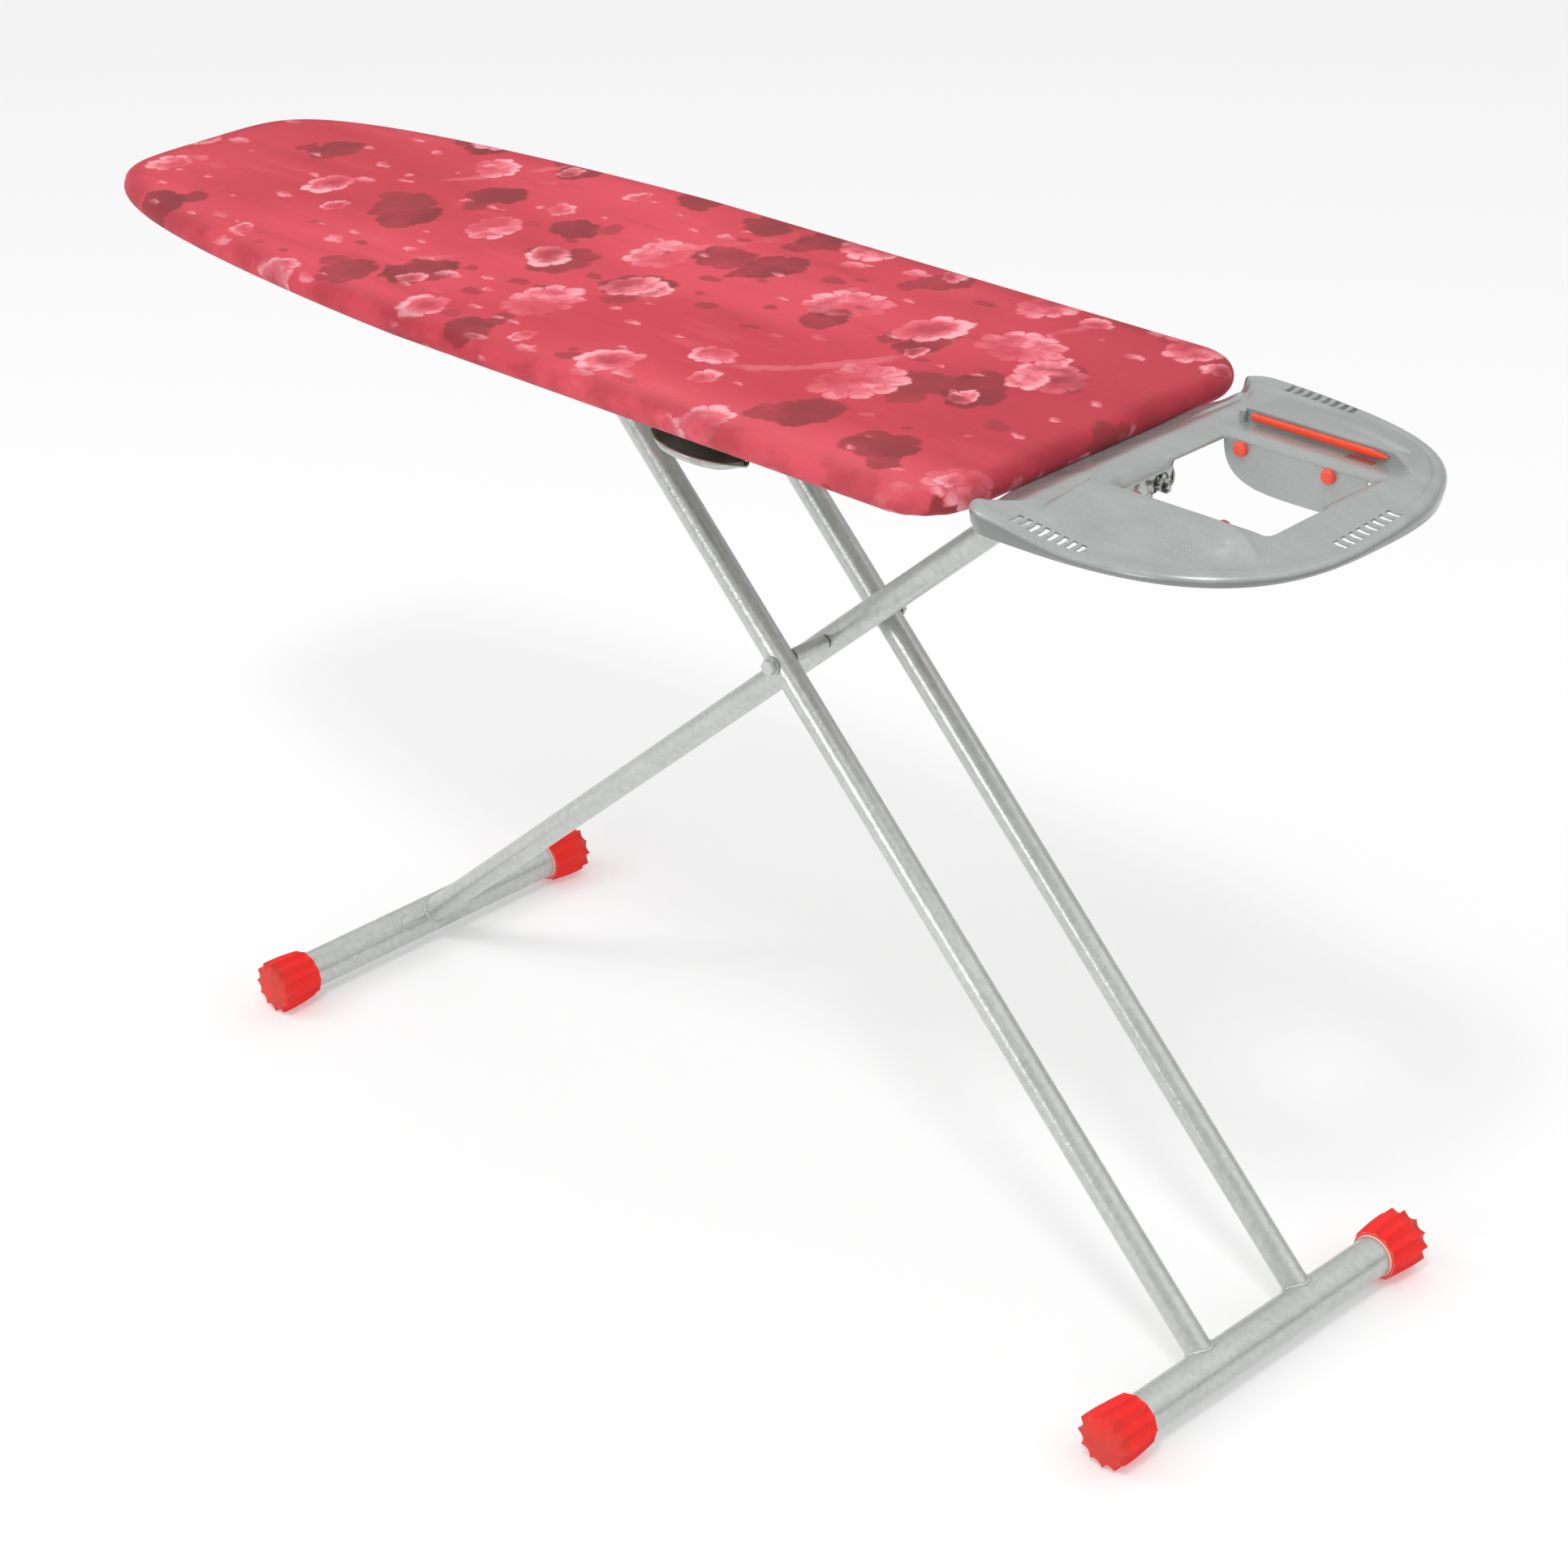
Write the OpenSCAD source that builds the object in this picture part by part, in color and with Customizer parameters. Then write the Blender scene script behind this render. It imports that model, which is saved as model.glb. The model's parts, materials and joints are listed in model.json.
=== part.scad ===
// Folding ironing board with a scissor leg frame and an iron rest tray.
// X runs along the board (nose at -X, tray at +X), Z is up, the floor is z = 0.
// The origin is on the floor, under the middle of the whole length.

/* [Board] */
// Length of the padded board
board_len = 1200; // [1100:5:1300]
// Width of the padded board
board_w = 404; // [380:2:430]
// Height of the ironing surface above the floor
surface_h = 824; // [780:1:860]
// Thickness of the padded board at its edge
board_t = 24; // [22:0.5:30]
// Length of the tapering nose
nose_len = 550; // [480:5:620]
// How blunt the tip of the nose is
nose_blunt = 4.8; // [4:0.1:6]
// How full the taper of the nose is
nose_taper = 1.25; // [1:0.05:1.6]
// Radius of the two corners at the tray end
end_corner_r = 58; // [45:1:80]
// Thickness of the cloth cover
cover_t = 1.2; // [0.8:0.1:2]
// How far the cover turns under the board
hem_w = 26; // [20:1:32]
// Thickness of the foam pad
foam_t = 5.8; // [4:0.1:7]
// Width and height of the draw cord in the hem
cord_w = 3; // [2:0.5:4]

/* [Board frame] */
// Thickness of the expanded metal panel
mesh_t = 0.8; // [0.8:0.1:2]
// Width of the rim channel's flanges
rim_w = 10; // [8:1:12]
// Wall thickness of the rim channel
rim_wall = 1.6; // [1:0.1:2]
// Width of the cross braces
brace_w = 30; // [24:1:36]
// Thickness of the cross braces
brace_t = 3; // [2:0.5:4]
// Distance from the middle to the inner face of each track rail
rail_y = 42; // [38:1:44]
// Sheet thickness of the track rails
rail_t = 2; // [1.5:0.1:3]
// Width of the rails' top flanges
rail_flange = 14; // [12:1:18]
// Metal left below the track's slot
track_lip = 8; // [6:0.5:12]
// Distance from the tip of the nose to the first cross brace
nose_brace_inset = 120; // [100:5:160]
// Distance from the locking rod to the cross brace behind it
track_brace_offset = 60; // [50:2:70]
// Radius of the frame rivets
rivet_r = 2; // [1.5:0.1:2.5]

/* [Leg frame] */
// Outer radius of the leg tubes
leg_r = 12.5; // [11:0.5:14]
// Wall of the leg tubes
leg_wall = 1.2; // [1:0.1:2]
// Distance between the middles of the twin legs
twin_spacing = 132; // [126:1:140]
// Height of the leg hinge below the ironing surface
hinge_drop = 42; // [38:0.5:50]
// Distance from the board's end to the single leg's hinge
hinge_inset = 24; // [20:1:30]
// Distance along the board from the hinge to the locking rod
track_reach = 520; // [500:5:540]
// Distance along the board from the hinge to the twin foot bar
twin_foot_reach = 204; // [190:2:220]
// Distance between the two foot bars
foot_span = 1120; // [1080:5:1160]
// Outer radius of the foot bars
bar_r = 19; // [17:0.5:21]
// Wall of the foot bars
bar_wall = 1.5; // [1:0.1:2]
// Radius of the hinge pin
pin_r = 4; // [3:0.5:5]
// Radius of the scissor pivot bolt
bolt_r = 4; // [3:0.5:5]
// Radius of the locking rod at the top of the twin legs
rod_r = 5; // [4:0.5:6]
// Wall of the bushes round the pin and the bolt
bush_wall = 2.2; // [1.5:0.1:3]
// Wall of the spacers on the pivot bolt
spacer_wall = 3; // [2:0.5:4]

/* [Foot caps] */
// Distance from the middle of a foot bar to each cap's inner rim
cap_start = 162; // [150:1:175]
// Length of a foot cap
cap_len = 46; // [40:1:55]
// Height of the foot bars' middle line above the floor
foot_axis_h = 27; // [25:0.5:30]
// Radius of a cap's body between the ribs
cap_body_r = 24.5; // [22:0.5:26]
// Radius of a cap at the crest of its ribs
cap_rib_r = 27.5; // [26:0.5:31]
// Number of ribs round a cap
cap_ribs = 12; // [8:2:16]
// How deep a foot bar sits in its cap
cap_socket = 24; // [16:1:30]

/* [Iron tray] */
// Length of the tray beyond the board's end
tray_len = 277; // [250:1:300]
// Width of the tray
tray_w = 358; // [340:2:380]
// How square the tray's rounded end is
tray_square = 3.1; // [2.4:0.1:4]
// Height of the tray's deck below the ironing surface
tray_drop = 4; // [2:0.5:8]
// Depth of the tray's side wall
tray_depth = 15; // [12:0.5:18]
// Wall thickness of the tray
tray_wall = 3; // [2:0.5:4]
// Height of the raised ridges above the deck
ridge_h = 12; // [8:0.5:15]
// Distance from the middle to the inner face of each ridge
ridge_y = 94; // [86:1:100]
// Half length of the opening through the tray, along the board
opening_half_x = 75; // [65:1:80]
// Half width of the opening through the tray
opening_half_y = 65; // [55:1:72]
// Distance from the board's end to the middle of the opening
opening_mid = 147; // [140:1:155]
// Depth of the hanging flaps below the deck
flap_depth = 40; // [30:1:44]
// Half length of the hanging flaps
flap_half = 63; // [52:1:66]
// Height of the silicone strips
strip_h = 11; // [7:0.5:11.5]
// Thickness of the silicone strips
strip_t = 3.6; // [2:0.2:5]
// Distance from the board's end to the tray's bolt
tray_bolt_reach = 45; // [40:1:50]
// Distance from the board's end to the first vent slot
vent_start = 60; // [50:2:70]
// Distance from one vent slot to the next
vent_pitch = 10; // [8:0.5:12]
// Radius of the round bumper buttons
button_r = 6.5; // [5:0.5:8]
// Half distance between the two buttons of a flap
button_half = 44; // [30:1:48]

/* [Height lever] */
// Distance from the board's end to the middle of the lever
lever_mid = 305; // [280:5:330]
// Length of the lever's hinge, along the board
lever_len = 112; // [90:2:130]
// Distance from the middle of the board to the lever's hinge
lever_y = 92; // [88:1:100]
// Radius of the lever's dished edge, seen from above
lever_dish_r = 116; // [105:1:125]
// Depth of the dished lever
lever_dish_h = 17; // [12:1:22]
// Sheet thickness of the lever
lever_t = 2; // [1.5:0.1:3]
// Radius of the lever's shaft
shaft_r = 3; // [2:0.5:4]

/* [Hidden] */
$fn = 48;

// Clearances: between stacked flat parts, round a fixed shaft, and round a turning shaft.
seat_gap = 0.2;
shaft_gap = 0.05;
turn_gap = 0.08;
// Room between parts that swing past each other.
side_gap = 0.5;
// Extra length that lets a cut run clean through.
cut = 1;

steel = [0.76, 0.77, 0.76];
dark_steel = [0.50, 0.51, 0.49];
tray_grey = [0.67, 0.68, 0.68];
cap_red = [0.88, 0.20, 0.18];
strip_red = [0.98, 0.26, 0.14];

// Places along the board.
nose_x = -(board_len + tray_len) / 2;
end_x = nose_x + board_len;
hinge_x = end_x - hinge_inset;
rod_x = hinge_x - track_reach;
twin_foot_x = hinge_x + twin_foot_reach;
single_foot_x = twin_foot_x - foot_span;
lever_x = end_x - lever_mid;
opening_x = end_x + opening_mid;

// Heights of the board's layers, from the top down.
edge_r = board_t / 2;
edge_z = surface_h - edge_r;
under_z = surface_h - board_t;
foam_top = surface_h - cover_t - seat_gap;
mesh_top = foam_top - foam_t - seat_gap;
frame_top = mesh_top - mesh_t - seat_gap;
brace_z = frame_top - brace_t;
rail_top = brace_z - seat_gap;
rim_bottom = under_z + cover_t + cord_w + 2 * seat_gap;
hinge_z = surface_h - hinge_drop;
deck_z = surface_h - tray_drop;
tray_low = deck_z - tray_depth;

// Insets of the layers from the board's outline.
rim_inset = edge_r / 2;
mesh_inset = rim_inset + 1;
brace_inset = rim_inset + rim_w + seat_gap;
cord_inset = edge_r + hem_w - cord_w - 1;

// The scissor: both legs run from a foot bar to the hinge level and cross at the pivot.
leg_rise = hinge_z - foot_axis_h;
single_run = hinge_x - single_foot_x;
twin_run = twin_foot_x - rod_x;
cross = foot_span / (single_run + twin_run);
pivot_x = single_foot_x + single_run * cross;
pivot_z = foot_axis_h + leg_rise * cross;
single_tilt = atan2(single_run, leg_rise);
twin_tilt = atan2(-twin_run, leg_rise);
single_len = norm([single_run, leg_rise]);
twin_len = norm([twin_run, leg_rise]);
twin_y = twin_spacing / 2;
bush_r = pin_r + turn_gap + bush_wall;
pivot_bush_r = bolt_r + turn_gap + bush_wall;
leg_end_past_pin = 8;
leg_end_past_rod = 16;
weld_gap = 0.1;

// The board's outline: a blunt tapering nose, straight sides and two round corners.
nose_steps = 14;
corner_steps = 5;
function nose_half_w(s) =
    board_w / 2 * pow(1 - pow(1 - min(s, 1), nose_taper), 1 / nose_blunt);
function half_w_at(x) = nose_half_w((x - nose_x) / nose_len);
nose_side = [for (i = [1 : nose_steps]) let (s = pow(i / nose_steps, nose_blunt))
    [nose_x + nose_len * s, nose_half_w(s)]];
end_corner = [for (i = [0 : corner_steps]) let (a = 90 - 90 * i / corner_steps)
    [end_x - end_corner_r + end_corner_r * cos(a),
     board_w / 2 - end_corner_r + end_corner_r * sin(a)]];
far_side = concat(nose_side, end_corner);
side_count = len(far_side);
outline = concat([[nose_x, 0]],
    [for (p = far_side) [p[0], -p[1]]],
    [for (i = [side_count - 1 : -1 : 0]) far_side[i]]);
outline_count = len(outline);
function unit(v) = v / norm(v);
function tangent(i) = unit(outline[(i + 1) % outline_count]
    - outline[(i + outline_count - 1) % outline_count]);
function inset(d) = [for (i = [0 : outline_count - 1])
    let (t = tangent(i)) outline[i] + d * [-t[1], t[0]]];

// A flat sheet that follows the board's outline, from one height to another.
module outline_sheet(d, low, high) {
    translate([0, 0, low]) linear_extrude(high - low) polygon(inset(d));
}

// A band that follows the board's outline between two insets.
module outline_band(outer, inner, low, high) {
    difference() {
        outline_sheet(outer, low, high);
        outline_sheet(inner, low - cut, high + cut);
    }
}

// Rods and tubes across the board (along Y), and tubes that lean in the XZ plane.
module cross_rod(x, z, r, y_low, y_high) {
    translate([x, y_low, z]) rotate([-90, 0, 0]) cylinder(r = r, h = y_high - y_low);
}

module cross_tube(x, z, r_out, r_in, y_low, y_high) {
    difference() {
        cross_rod(x, z, r_out, y_low, y_high);
        cross_rod(x, z, r_in, y_low - cut, y_high + cut);
    }
}

module leaning(x, y, tilt) {
    translate([x, y, foot_axis_h]) rotate([0, tilt, 0]) children();
}

module tube(r, wall, h) {
    difference() {
        cylinder(r = r, h = h);
        translate([0, 0, -cut]) cylinder(r = r - wall, h = h + 2 * cut);
    }
}

// A hexagonal nut or bolt head, from y_low to y_high.
module hex_across(x, z, r, y_low, y_high) {
    translate([x, y_low, z]) rotate([-90, 0, 0]) cylinder(r = r, h = y_high - y_low, $fn = 6);
}

// Cloth cover: one sheet that wraps over the top, round the edge and under as a hem.
arc_steps = 6;
function edge_arc(r, from, to) = [for (i = [0 : arc_steps])
    let (a = from + (to - from) * i / arc_steps)
    [edge_r - r * cos(a), edge_z + r * sin(a)]];
cover_profile = concat(edge_arc(edge_r, 90, -90),
    [[edge_r + hem_w, under_z], [edge_r + hem_w, under_z + cover_t]],
    edge_arc(edge_r - cover_t, -90, 90));

module cover() {
    rings = [for (p = cover_profile) [for (q = inset(p[0])) [q[0], q[1], p[1]]]];
    last = len(rings) - 1;
    n = outline_count;
    points = [for (ring = rings) for (q = ring) q];
    sides = [for (k = [0 : last - 1]) for (i = [0 : n - 1]) let (j = (i + 1) % n)
        [k * n + i, k * n + j, (k + 1) * n + j, (k + 1) * n + i]];
    top = [for (i = [n - 1 : -1 : 0]) i];
    lining = [for (i = [0 : n - 1]) last * n + i];
    color([0.84, 0.36, 0.42]) polyhedron(points, concat([top], sides, [lining]));
}

module cover_draw_cord() {
    color([0.9, 0.88, 0.85])
    outline_band(cord_inset, cord_inset + cord_w,
        under_z + cover_t + seat_gap, under_z + cover_t + seat_gap + cord_w);
}

module foam_pad() {
    color([0.93, 0.91, 0.84]) outline_sheet(edge_r, foam_top - foam_t, foam_top);
}

// Expanded metal panel, with rows of diamond openings.
module mesh_panel() {
    diamond_r = 17;
    pitch_x = 46;
    pitch_y = 44;
    rows = 3;
    columns = floor((board_len - nose_len / 2 - 2 * end_corner_r) / pitch_x);
    color(dark_steel) difference() {
        outline_sheet(mesh_inset, mesh_top - mesh_t, mesh_top);
        for (i = [0 : columns - 1], j = [-rows : rows])
            if (abs(pitch_y * j) + diamond_r + rim_w + brace_inset
                < half_w_at(end_x - end_corner_r - pitch_x * (i + 1)))
            translate([end_x - end_corner_r - pitch_x * (i + 0.5), pitch_y * j,
                mesh_top - mesh_t - cut])
                cylinder(r = diamond_r, h = mesh_t + 2 * cut, $fn = 4);
    }
}

// Rim channel, open towards the middle of the board.
module rim_channel() {
    color(steel) difference() {
        outline_band(rim_inset, rim_inset + rim_w, rim_bottom, frame_top);
        outline_band(rim_inset + rim_wall, rim_inset + rim_w + cut,
            rim_bottom + rim_wall, frame_top - rim_wall);
    }
}

// Cross braces lie between the rails and the mesh panel.
hem_clear = 7;
nose_brace_x = nose_x + nose_brace_inset;
track_brace_x = rod_x - track_brace_offset;
end_brace_x = end_x - edge_r - hem_w - hem_clear - brace_w / 2;
brace_end_gap = 3;
brace_places = [nose_brace_x, track_brace_x, lever_x, end_brace_x];

module brace(x) {
    half = half_w_at(x - brace_w / 2) - brace_inset - brace_end_gap;
    color(steel) difference() {
        translate([x - brace_w / 2, -half, brace_z]) cube([brace_w, 2 * half, brace_t]);
        for (s = [-1, 1]) rivet_hole(x, s);
    }
}

module brace_nose() { brace(nose_brace_x); }
module brace_track() { brace(track_brace_x); }
module brace_middle() { brace(lever_x); }
module brace_end() { brace(end_brace_x); }

// Rivets join each brace to both rails.
rivet_y = rail_y + rail_t - rail_flange / 2;
rivet_head_t = 1.4;

module rivet_hole(x, s) {
    translate([x, s * rivet_y, rail_top - rail_t - cut])
        cylinder(r = rivet_r + shaft_gap, h = rail_t + brace_t + 4 * cut);
}

module frame_rivets() {
    color(dark_steel) for (x = brace_places, s = [-1, 1])
        translate([x, s * rivet_y, rail_top - rail_t - seat_gap - rivet_head_t]) {
            cylinder(r = 2 * rivet_r, h = rivet_head_t);
            cylinder(r = rivet_r, h = rivet_head_t + rail_t + brace_t + 2 * seat_gap);
        }
}

// Track rails: an upper rail along the board, and a hanging plate with the slot that
// the locking rod slides in and the row of height notches above it.
slot_low = rod_r + 1.2;
slot_high = rod_r + 4.5;
slot_r = (slot_low + slot_high) / 2;
slot_z = hinge_z + (slot_high - slot_low) / 2;
slot_travel = 200;
notch_count = 7;
notch_pitch = 26;
track_low = slot_z - slot_r - track_lip;
rail_low = under_z + 2;
rail_x0 = nose_brace_x - brace_w / 2;
rail_x1 = end_brace_x + brace_w / 2;

module track_rail(s) {
    slot_x0 = rod_x - slot_travel;
    web = [[rail_x0, rail_top], [rail_x0, rail_low], [slot_x0 - 30, rail_low],
        [slot_x0 - 14, track_low], [rod_x + 18, track_low], [rod_x + 40, rail_low],
        [rail_x1, rail_low], [rail_x1, rail_top]];
    inner = s > 0 ? rail_y : -rail_y - rail_t;
    flange = s > 0 ? rail_y + rail_t - rail_flange : -rail_y - rail_t;
    color(steel) difference() {
        union() {
            translate([0, inner + rail_t, 0]) rotate([90, 0, 0])
                linear_extrude(rail_t) polygon(web);
            translate([rail_x0, flange, rail_top - rail_t])
                cube([rail_x1 - rail_x0, rail_flange, rail_t]);
        }
        translate([slot_x0, inner - cut, slot_z - slot_r])
            cube([slot_travel, rail_t + 2 * cut, 2 * slot_r]);
        for (x = [slot_x0, rod_x])
            cross_rod(x, slot_z, slot_r, inner - cut, inner + rail_t + cut);
        for (i = [0 : notch_count - 1])
            cross_rod(rod_x - i * notch_pitch, slot_z + slot_r, rod_r + side_gap,
                inner - cut, inner + rail_t + cut);
        for (x = brace_places) rivet_hole(x, s);
    }
}

module track_rail_front() { track_rail(-1); }
module track_rail_back() { track_rail(1); }

// Hinge bracket: two side plates and a web. It carries the single leg's pin under
// the board's end, and its arms reach out to carry the tray.
bracket_gap = leg_r + 3.5;
bracket_t = 2;
web_top = under_z - 0.3;
arm_r = 15;
tray_bolt_x = end_x + tray_bolt_reach;
tray_bolt_z = tray_low - 12;
riser_x = end_brace_x + brace_w / 2;
bracket_low = hinge_z - bush_r - 7.5;
pin_len = bracket_gap + bracket_t + 4;

bracket_toe = 14;
bracket_heel = 10;
module hinge_bracket() {
    plate = [[end_brace_x - brace_w / 2, rail_top], [riser_x, rail_top], [riser_x, web_top],
        [tray_bolt_x, web_top], [tray_bolt_x, tray_bolt_z - arm_r],
        [hinge_x + bracket_heel, bracket_low], [hinge_x - bracket_toe, bracket_low],
        [end_brace_x - brace_w / 2, web_top - 6]];
    color(steel) difference() {
        union() {
            for (s = [-1, 1]) translate([0, s > 0 ? bracket_gap + bracket_t : -bracket_gap, 0])
                rotate([90, 0, 0]) linear_extrude(bracket_t) polygon(plate);
            for (s = [-1, 1]) cross_rod(tray_bolt_x, tray_bolt_z, arm_r,
                s > 0 ? bracket_gap : -bracket_gap - bracket_t,
                s > 0 ? bracket_gap + bracket_t : -bracket_gap);
            translate([riser_x - bracket_t, -bracket_gap - bracket_t, web_top - bracket_t])
                cube([end_x - riser_x, 2 * (bracket_gap + bracket_t), bracket_t]);
            translate([riser_x - bracket_t, -bracket_gap - bracket_t, web_top - bracket_t])
                cube([bracket_t, 2 * (bracket_gap + bracket_t), rail_top - web_top + bracket_t]);
            translate([end_brace_x - brace_w / 2, -bracket_gap - bracket_t,
                rail_top - bracket_t])
                cube([brace_w, 2 * (bracket_gap + bracket_t), bracket_t]);
        }
        cross_rod(hinge_x, hinge_z, pin_r + shaft_gap, -pin_len, pin_len);
        cross_rod(tray_bolt_x, tray_bolt_z, tray_bolt_r + shaft_gap, -pin_len, pin_len);
    }
}

module hinge_pin() {
    color(dark_steel) cross_rod(hinge_x, hinge_z, pin_r, -pin_len, pin_len);
}

module hinge_pin_clips() {
    clip_y = bracket_gap + bracket_t + seat_gap;
    color(steel) for (s = [-1, 1])
        cross_tube(hinge_x, hinge_z, pin_r + 3, pin_r + shaft_gap,
            s > 0 ? clip_y : -clip_y - 1.2, s > 0 ? clip_y + 1.2 : -clip_y);
}

// Iron rest tray: a shell with a rounded end, two sloping ridges, an opening and
// two hanging flaps beside it.
tray_x1 = end_x + tray_len;
tray_round = tray_len - 40;
round_steps = 12;
lug_half = 14;
tray_bolt_r = 3;
edge_drop = 1.5;

// Outline of the tray, drawn in by a margin.
function tray_curve(m) = [for (i = [-round_steps : round_steps])
    let (a = 90 * i / round_steps)
    [tray_x1 - tray_round + (tray_round - m) * pow(abs(cos(a)), 2 / tray_square),
     (tray_w / 2 - m) * sign(a) * pow(abs(sin(a)), 2 / tray_square)]];
// Its near edge runs along the board's end and on round the board's corner.
function tray_near(m, s) =
    let (r = end_corner_r + side_gap + m, c = board_w / 2 - end_corner_r,
        top = asin((tray_w / 2 - m - c) / r))
    [for (i = [0 : round_steps / 2]) let (a = top * (s > 0 ? 1 - 2 * i / round_steps
        : 2 * i / round_steps))
    [end_x - end_corner_r + r * cos(a), s * (c + r * sin(a))]];

module tray_plate(m, low, high) {
    translate([0, 0, low]) linear_extrude(high - low)
        polygon(concat(tray_curve(m), tray_near(m, 1), tray_near(m, -1)));
}

// A sloping ridge on one side: high at its inner face, low at the tray's edge.
module ridge(s) {
    slope = [[ridge_y, deck_z - tray_wall], [tray_w / 2, deck_z - tray_wall],
        [tray_w / 2, deck_z - edge_drop], [ridge_y + 3, deck_z + ridge_h],
        [ridge_y, deck_z + ridge_h]];
    ends = [[opening_x - opening_half_x - 22, deck_z - tray_wall],
        [opening_x - opening_half_x - 2, deck_z + ridge_h + cut],
        [opening_x + opening_half_x + 2, deck_z + ridge_h + cut],
        [opening_x + opening_half_x + 34, deck_z - tray_wall]];
    intersection() {
        translate([end_x, 0, 0]) rotate([90, 0, 90])
            linear_extrude(tray_len) polygon([for (p = slope) [s * p[0], p[1]]]);
        translate([0, tray_w, 0]) rotate([90, 0, 0])
            linear_extrude(2 * tray_w) polygon(ends);
        tray_plate(0, tray_low, deck_z + ridge_h + cut);
    }
}

module opening_block(grow, low, high) {
    translate([opening_x - opening_half_x - grow, -opening_half_y - grow, low])
        cube([2 * (opening_half_x + grow), 2 * (opening_half_y + grow), high - low]);
}

// Flap: half an oval that hangs from the deck beside the opening.
module flap(s) {
    oval = [for (i = [0 : 16]) let (a = 180 + 180 * i / 16)
        [flap_x + flap_half * cos(a), deck_z - cut + (flap_depth - cut) * sin(a)]];
    translate([0, s > 0 ? opening_half_y + tray_wall : -opening_half_y, 0])
        rotate([90, 0, 0]) linear_extrude(tray_wall) polygon(oval);
}
flap_x = opening_x - 5;
button_x = flap_x - 9;

// Groups of short vent slots near the edge: two beside the board and one at the end.
vent_count = 7;
vent_w = 4.5;
vent_len = 10;
vent_edge = 7;
module vents() {
    for (i = [0 : vent_count - 1], s = [-1, 1])
        translate([end_x + vent_start + vent_pitch * i,
            s * (tray_w / 2 - vent_edge - vent_len / 2) - vent_len / 2, deck_z - vent_len])
            cube([vent_w, vent_len, 2 * vent_len]);
    for (i = [0 : vent_count - 1])
        translate([tray_x1 - vent_edge - vent_len, vent_pitch * (i - vent_count / 2),
            deck_z - vent_len])
            cube([vent_len, vent_w, 2 * vent_len]);
}

module iron_tray() {
    color(tray_grey) difference() {
        union() {
            difference() {
                union() {
                    tray_plate(0, tray_low, deck_z - edge_drop);
                    tray_plate(edge_drop, deck_z - edge_drop - 0.1, deck_z);
                }
                difference() {
                    tray_plate(tray_wall, tray_low - cut, deck_z - tray_wall);
                    opening_block(tray_wall, tray_low - 2 * cut, deck_z);
                }
            }
            for (s = [-1, 1]) ridge(s);
            for (s = [-1, 1]) flap(s);
            translate([tray_bolt_x - lug_half, -bracket_gap + side_gap, tray_bolt_z - 9])
                cube([2 * lug_half, 2 * (bracket_gap - side_gap), deck_z - tray_bolt_z + 7]);
        }
        opening_block(0, tray_low - cut, deck_z + cut);
        vents();
        cross_rod(tray_bolt_x, tray_bolt_z, tray_bolt_r + shaft_gap, -pin_len, pin_len);
    }
}

// Silicone strips on the ridges' inner faces, with pointed outer ends.
strip_x0 = opening_x - opening_half_x;
strip_x1 = strip_x0 + 2 * opening_half_x - 10;

module silicone_strip(s) {
    strip_low = deck_z + seat_gap;
    shape = [[strip_x0, strip_low], [strip_x1 - 12, strip_low],
        [strip_x1, strip_low + strip_h / 2], [strip_x1 - 12, strip_low + strip_h],
        [strip_x0, strip_low + strip_h]];
    color(strip_red)
    translate([0, s > 0 ? ridge_y - 0.05 : -ridge_y + 0.05 + strip_t, 0]) rotate([90, 0, 0])
        linear_extrude(strip_t) polygon(shape);
}

module silicone_strip_front() { silicone_strip(-1); }
module silicone_strip_back() { silicone_strip(1); }

// Round bumper buttons on the flaps' inner faces.
module bumper_buttons(s) {
    button_t = 4;
    button_z = deck_z - button_r - 4;
    face = opening_half_y - 0.05;
    color(strip_red) for (d = [-button_half, button_half])
        cross_rod(button_x + d, button_z, button_r,
            s > 0 ? face - button_t : -face, s > 0 ? face : -face + button_t);
}

module bumper_buttons_front() { bumper_buttons(-1); }
module bumper_buttons_back() { bumper_buttons(1); }

tray_bolt_end = bracket_gap + bracket_t + seat_gap;
module tray_bolt() {
    color(dark_steel) union() {
        cross_rod(tray_bolt_x, tray_bolt_z, tray_bolt_r, -tray_bolt_end - 1, tray_bolt_end + 5);
        cross_rod(tray_bolt_x, tray_bolt_z, 2 * tray_bolt_r, -tray_bolt_end - 3, -tray_bolt_end);
    }
}

module tray_nut() {
    color(steel) difference() {
        hex_across(tray_bolt_x, tray_bolt_z, 2 * tray_bolt_r, tray_bolt_end, tray_bolt_end + 3);
        cross_rod(tray_bolt_x, tray_bolt_z, tray_bolt_r + shaft_gap,
            tray_bolt_end - cut, tray_bolt_end + 3 + cut);
    }
}

// Height lever: a dished plate on a shaft along the board. The shaft turns in two
// hanging brackets and carries the latch pawl beside the locking rod's end.
lever_z = under_z - 10;
eye_r = shaft_r + 2.6;
ear_t = 2;
ear_w = 2 * (shaft_r + 4);
lever_half = lever_len / 2;
spring_half = 8;
lever_bracket_top = brace_z - seat_gap;
pawl_half = 6;
shaft_x0 = track_brace_x - ear_t - 4;
shaft_x1 = lever_x + lever_half + side_gap + ear_t + 3;

module along_rod(y, z, r, x_low, x_high) {
    translate([x_low, y, z]) rotate([0, 90, 0]) cylinder(r = r, h = x_high - x_low);
}

// A flat ear that hangs from the brackets' top plate and holds the shaft.
module shaft_ear(x) {
    translate([x, -lever_y - ear_w / 2, lever_z - ear_w / 2])
        cube([ear_t, ear_w, lever_bracket_top - lever_z + ear_w / 2]);
}

module shaft_bores() {
    along_rod(-lever_y, lever_z, shaft_r + turn_gap, shaft_x0, shaft_x1);
}

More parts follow.
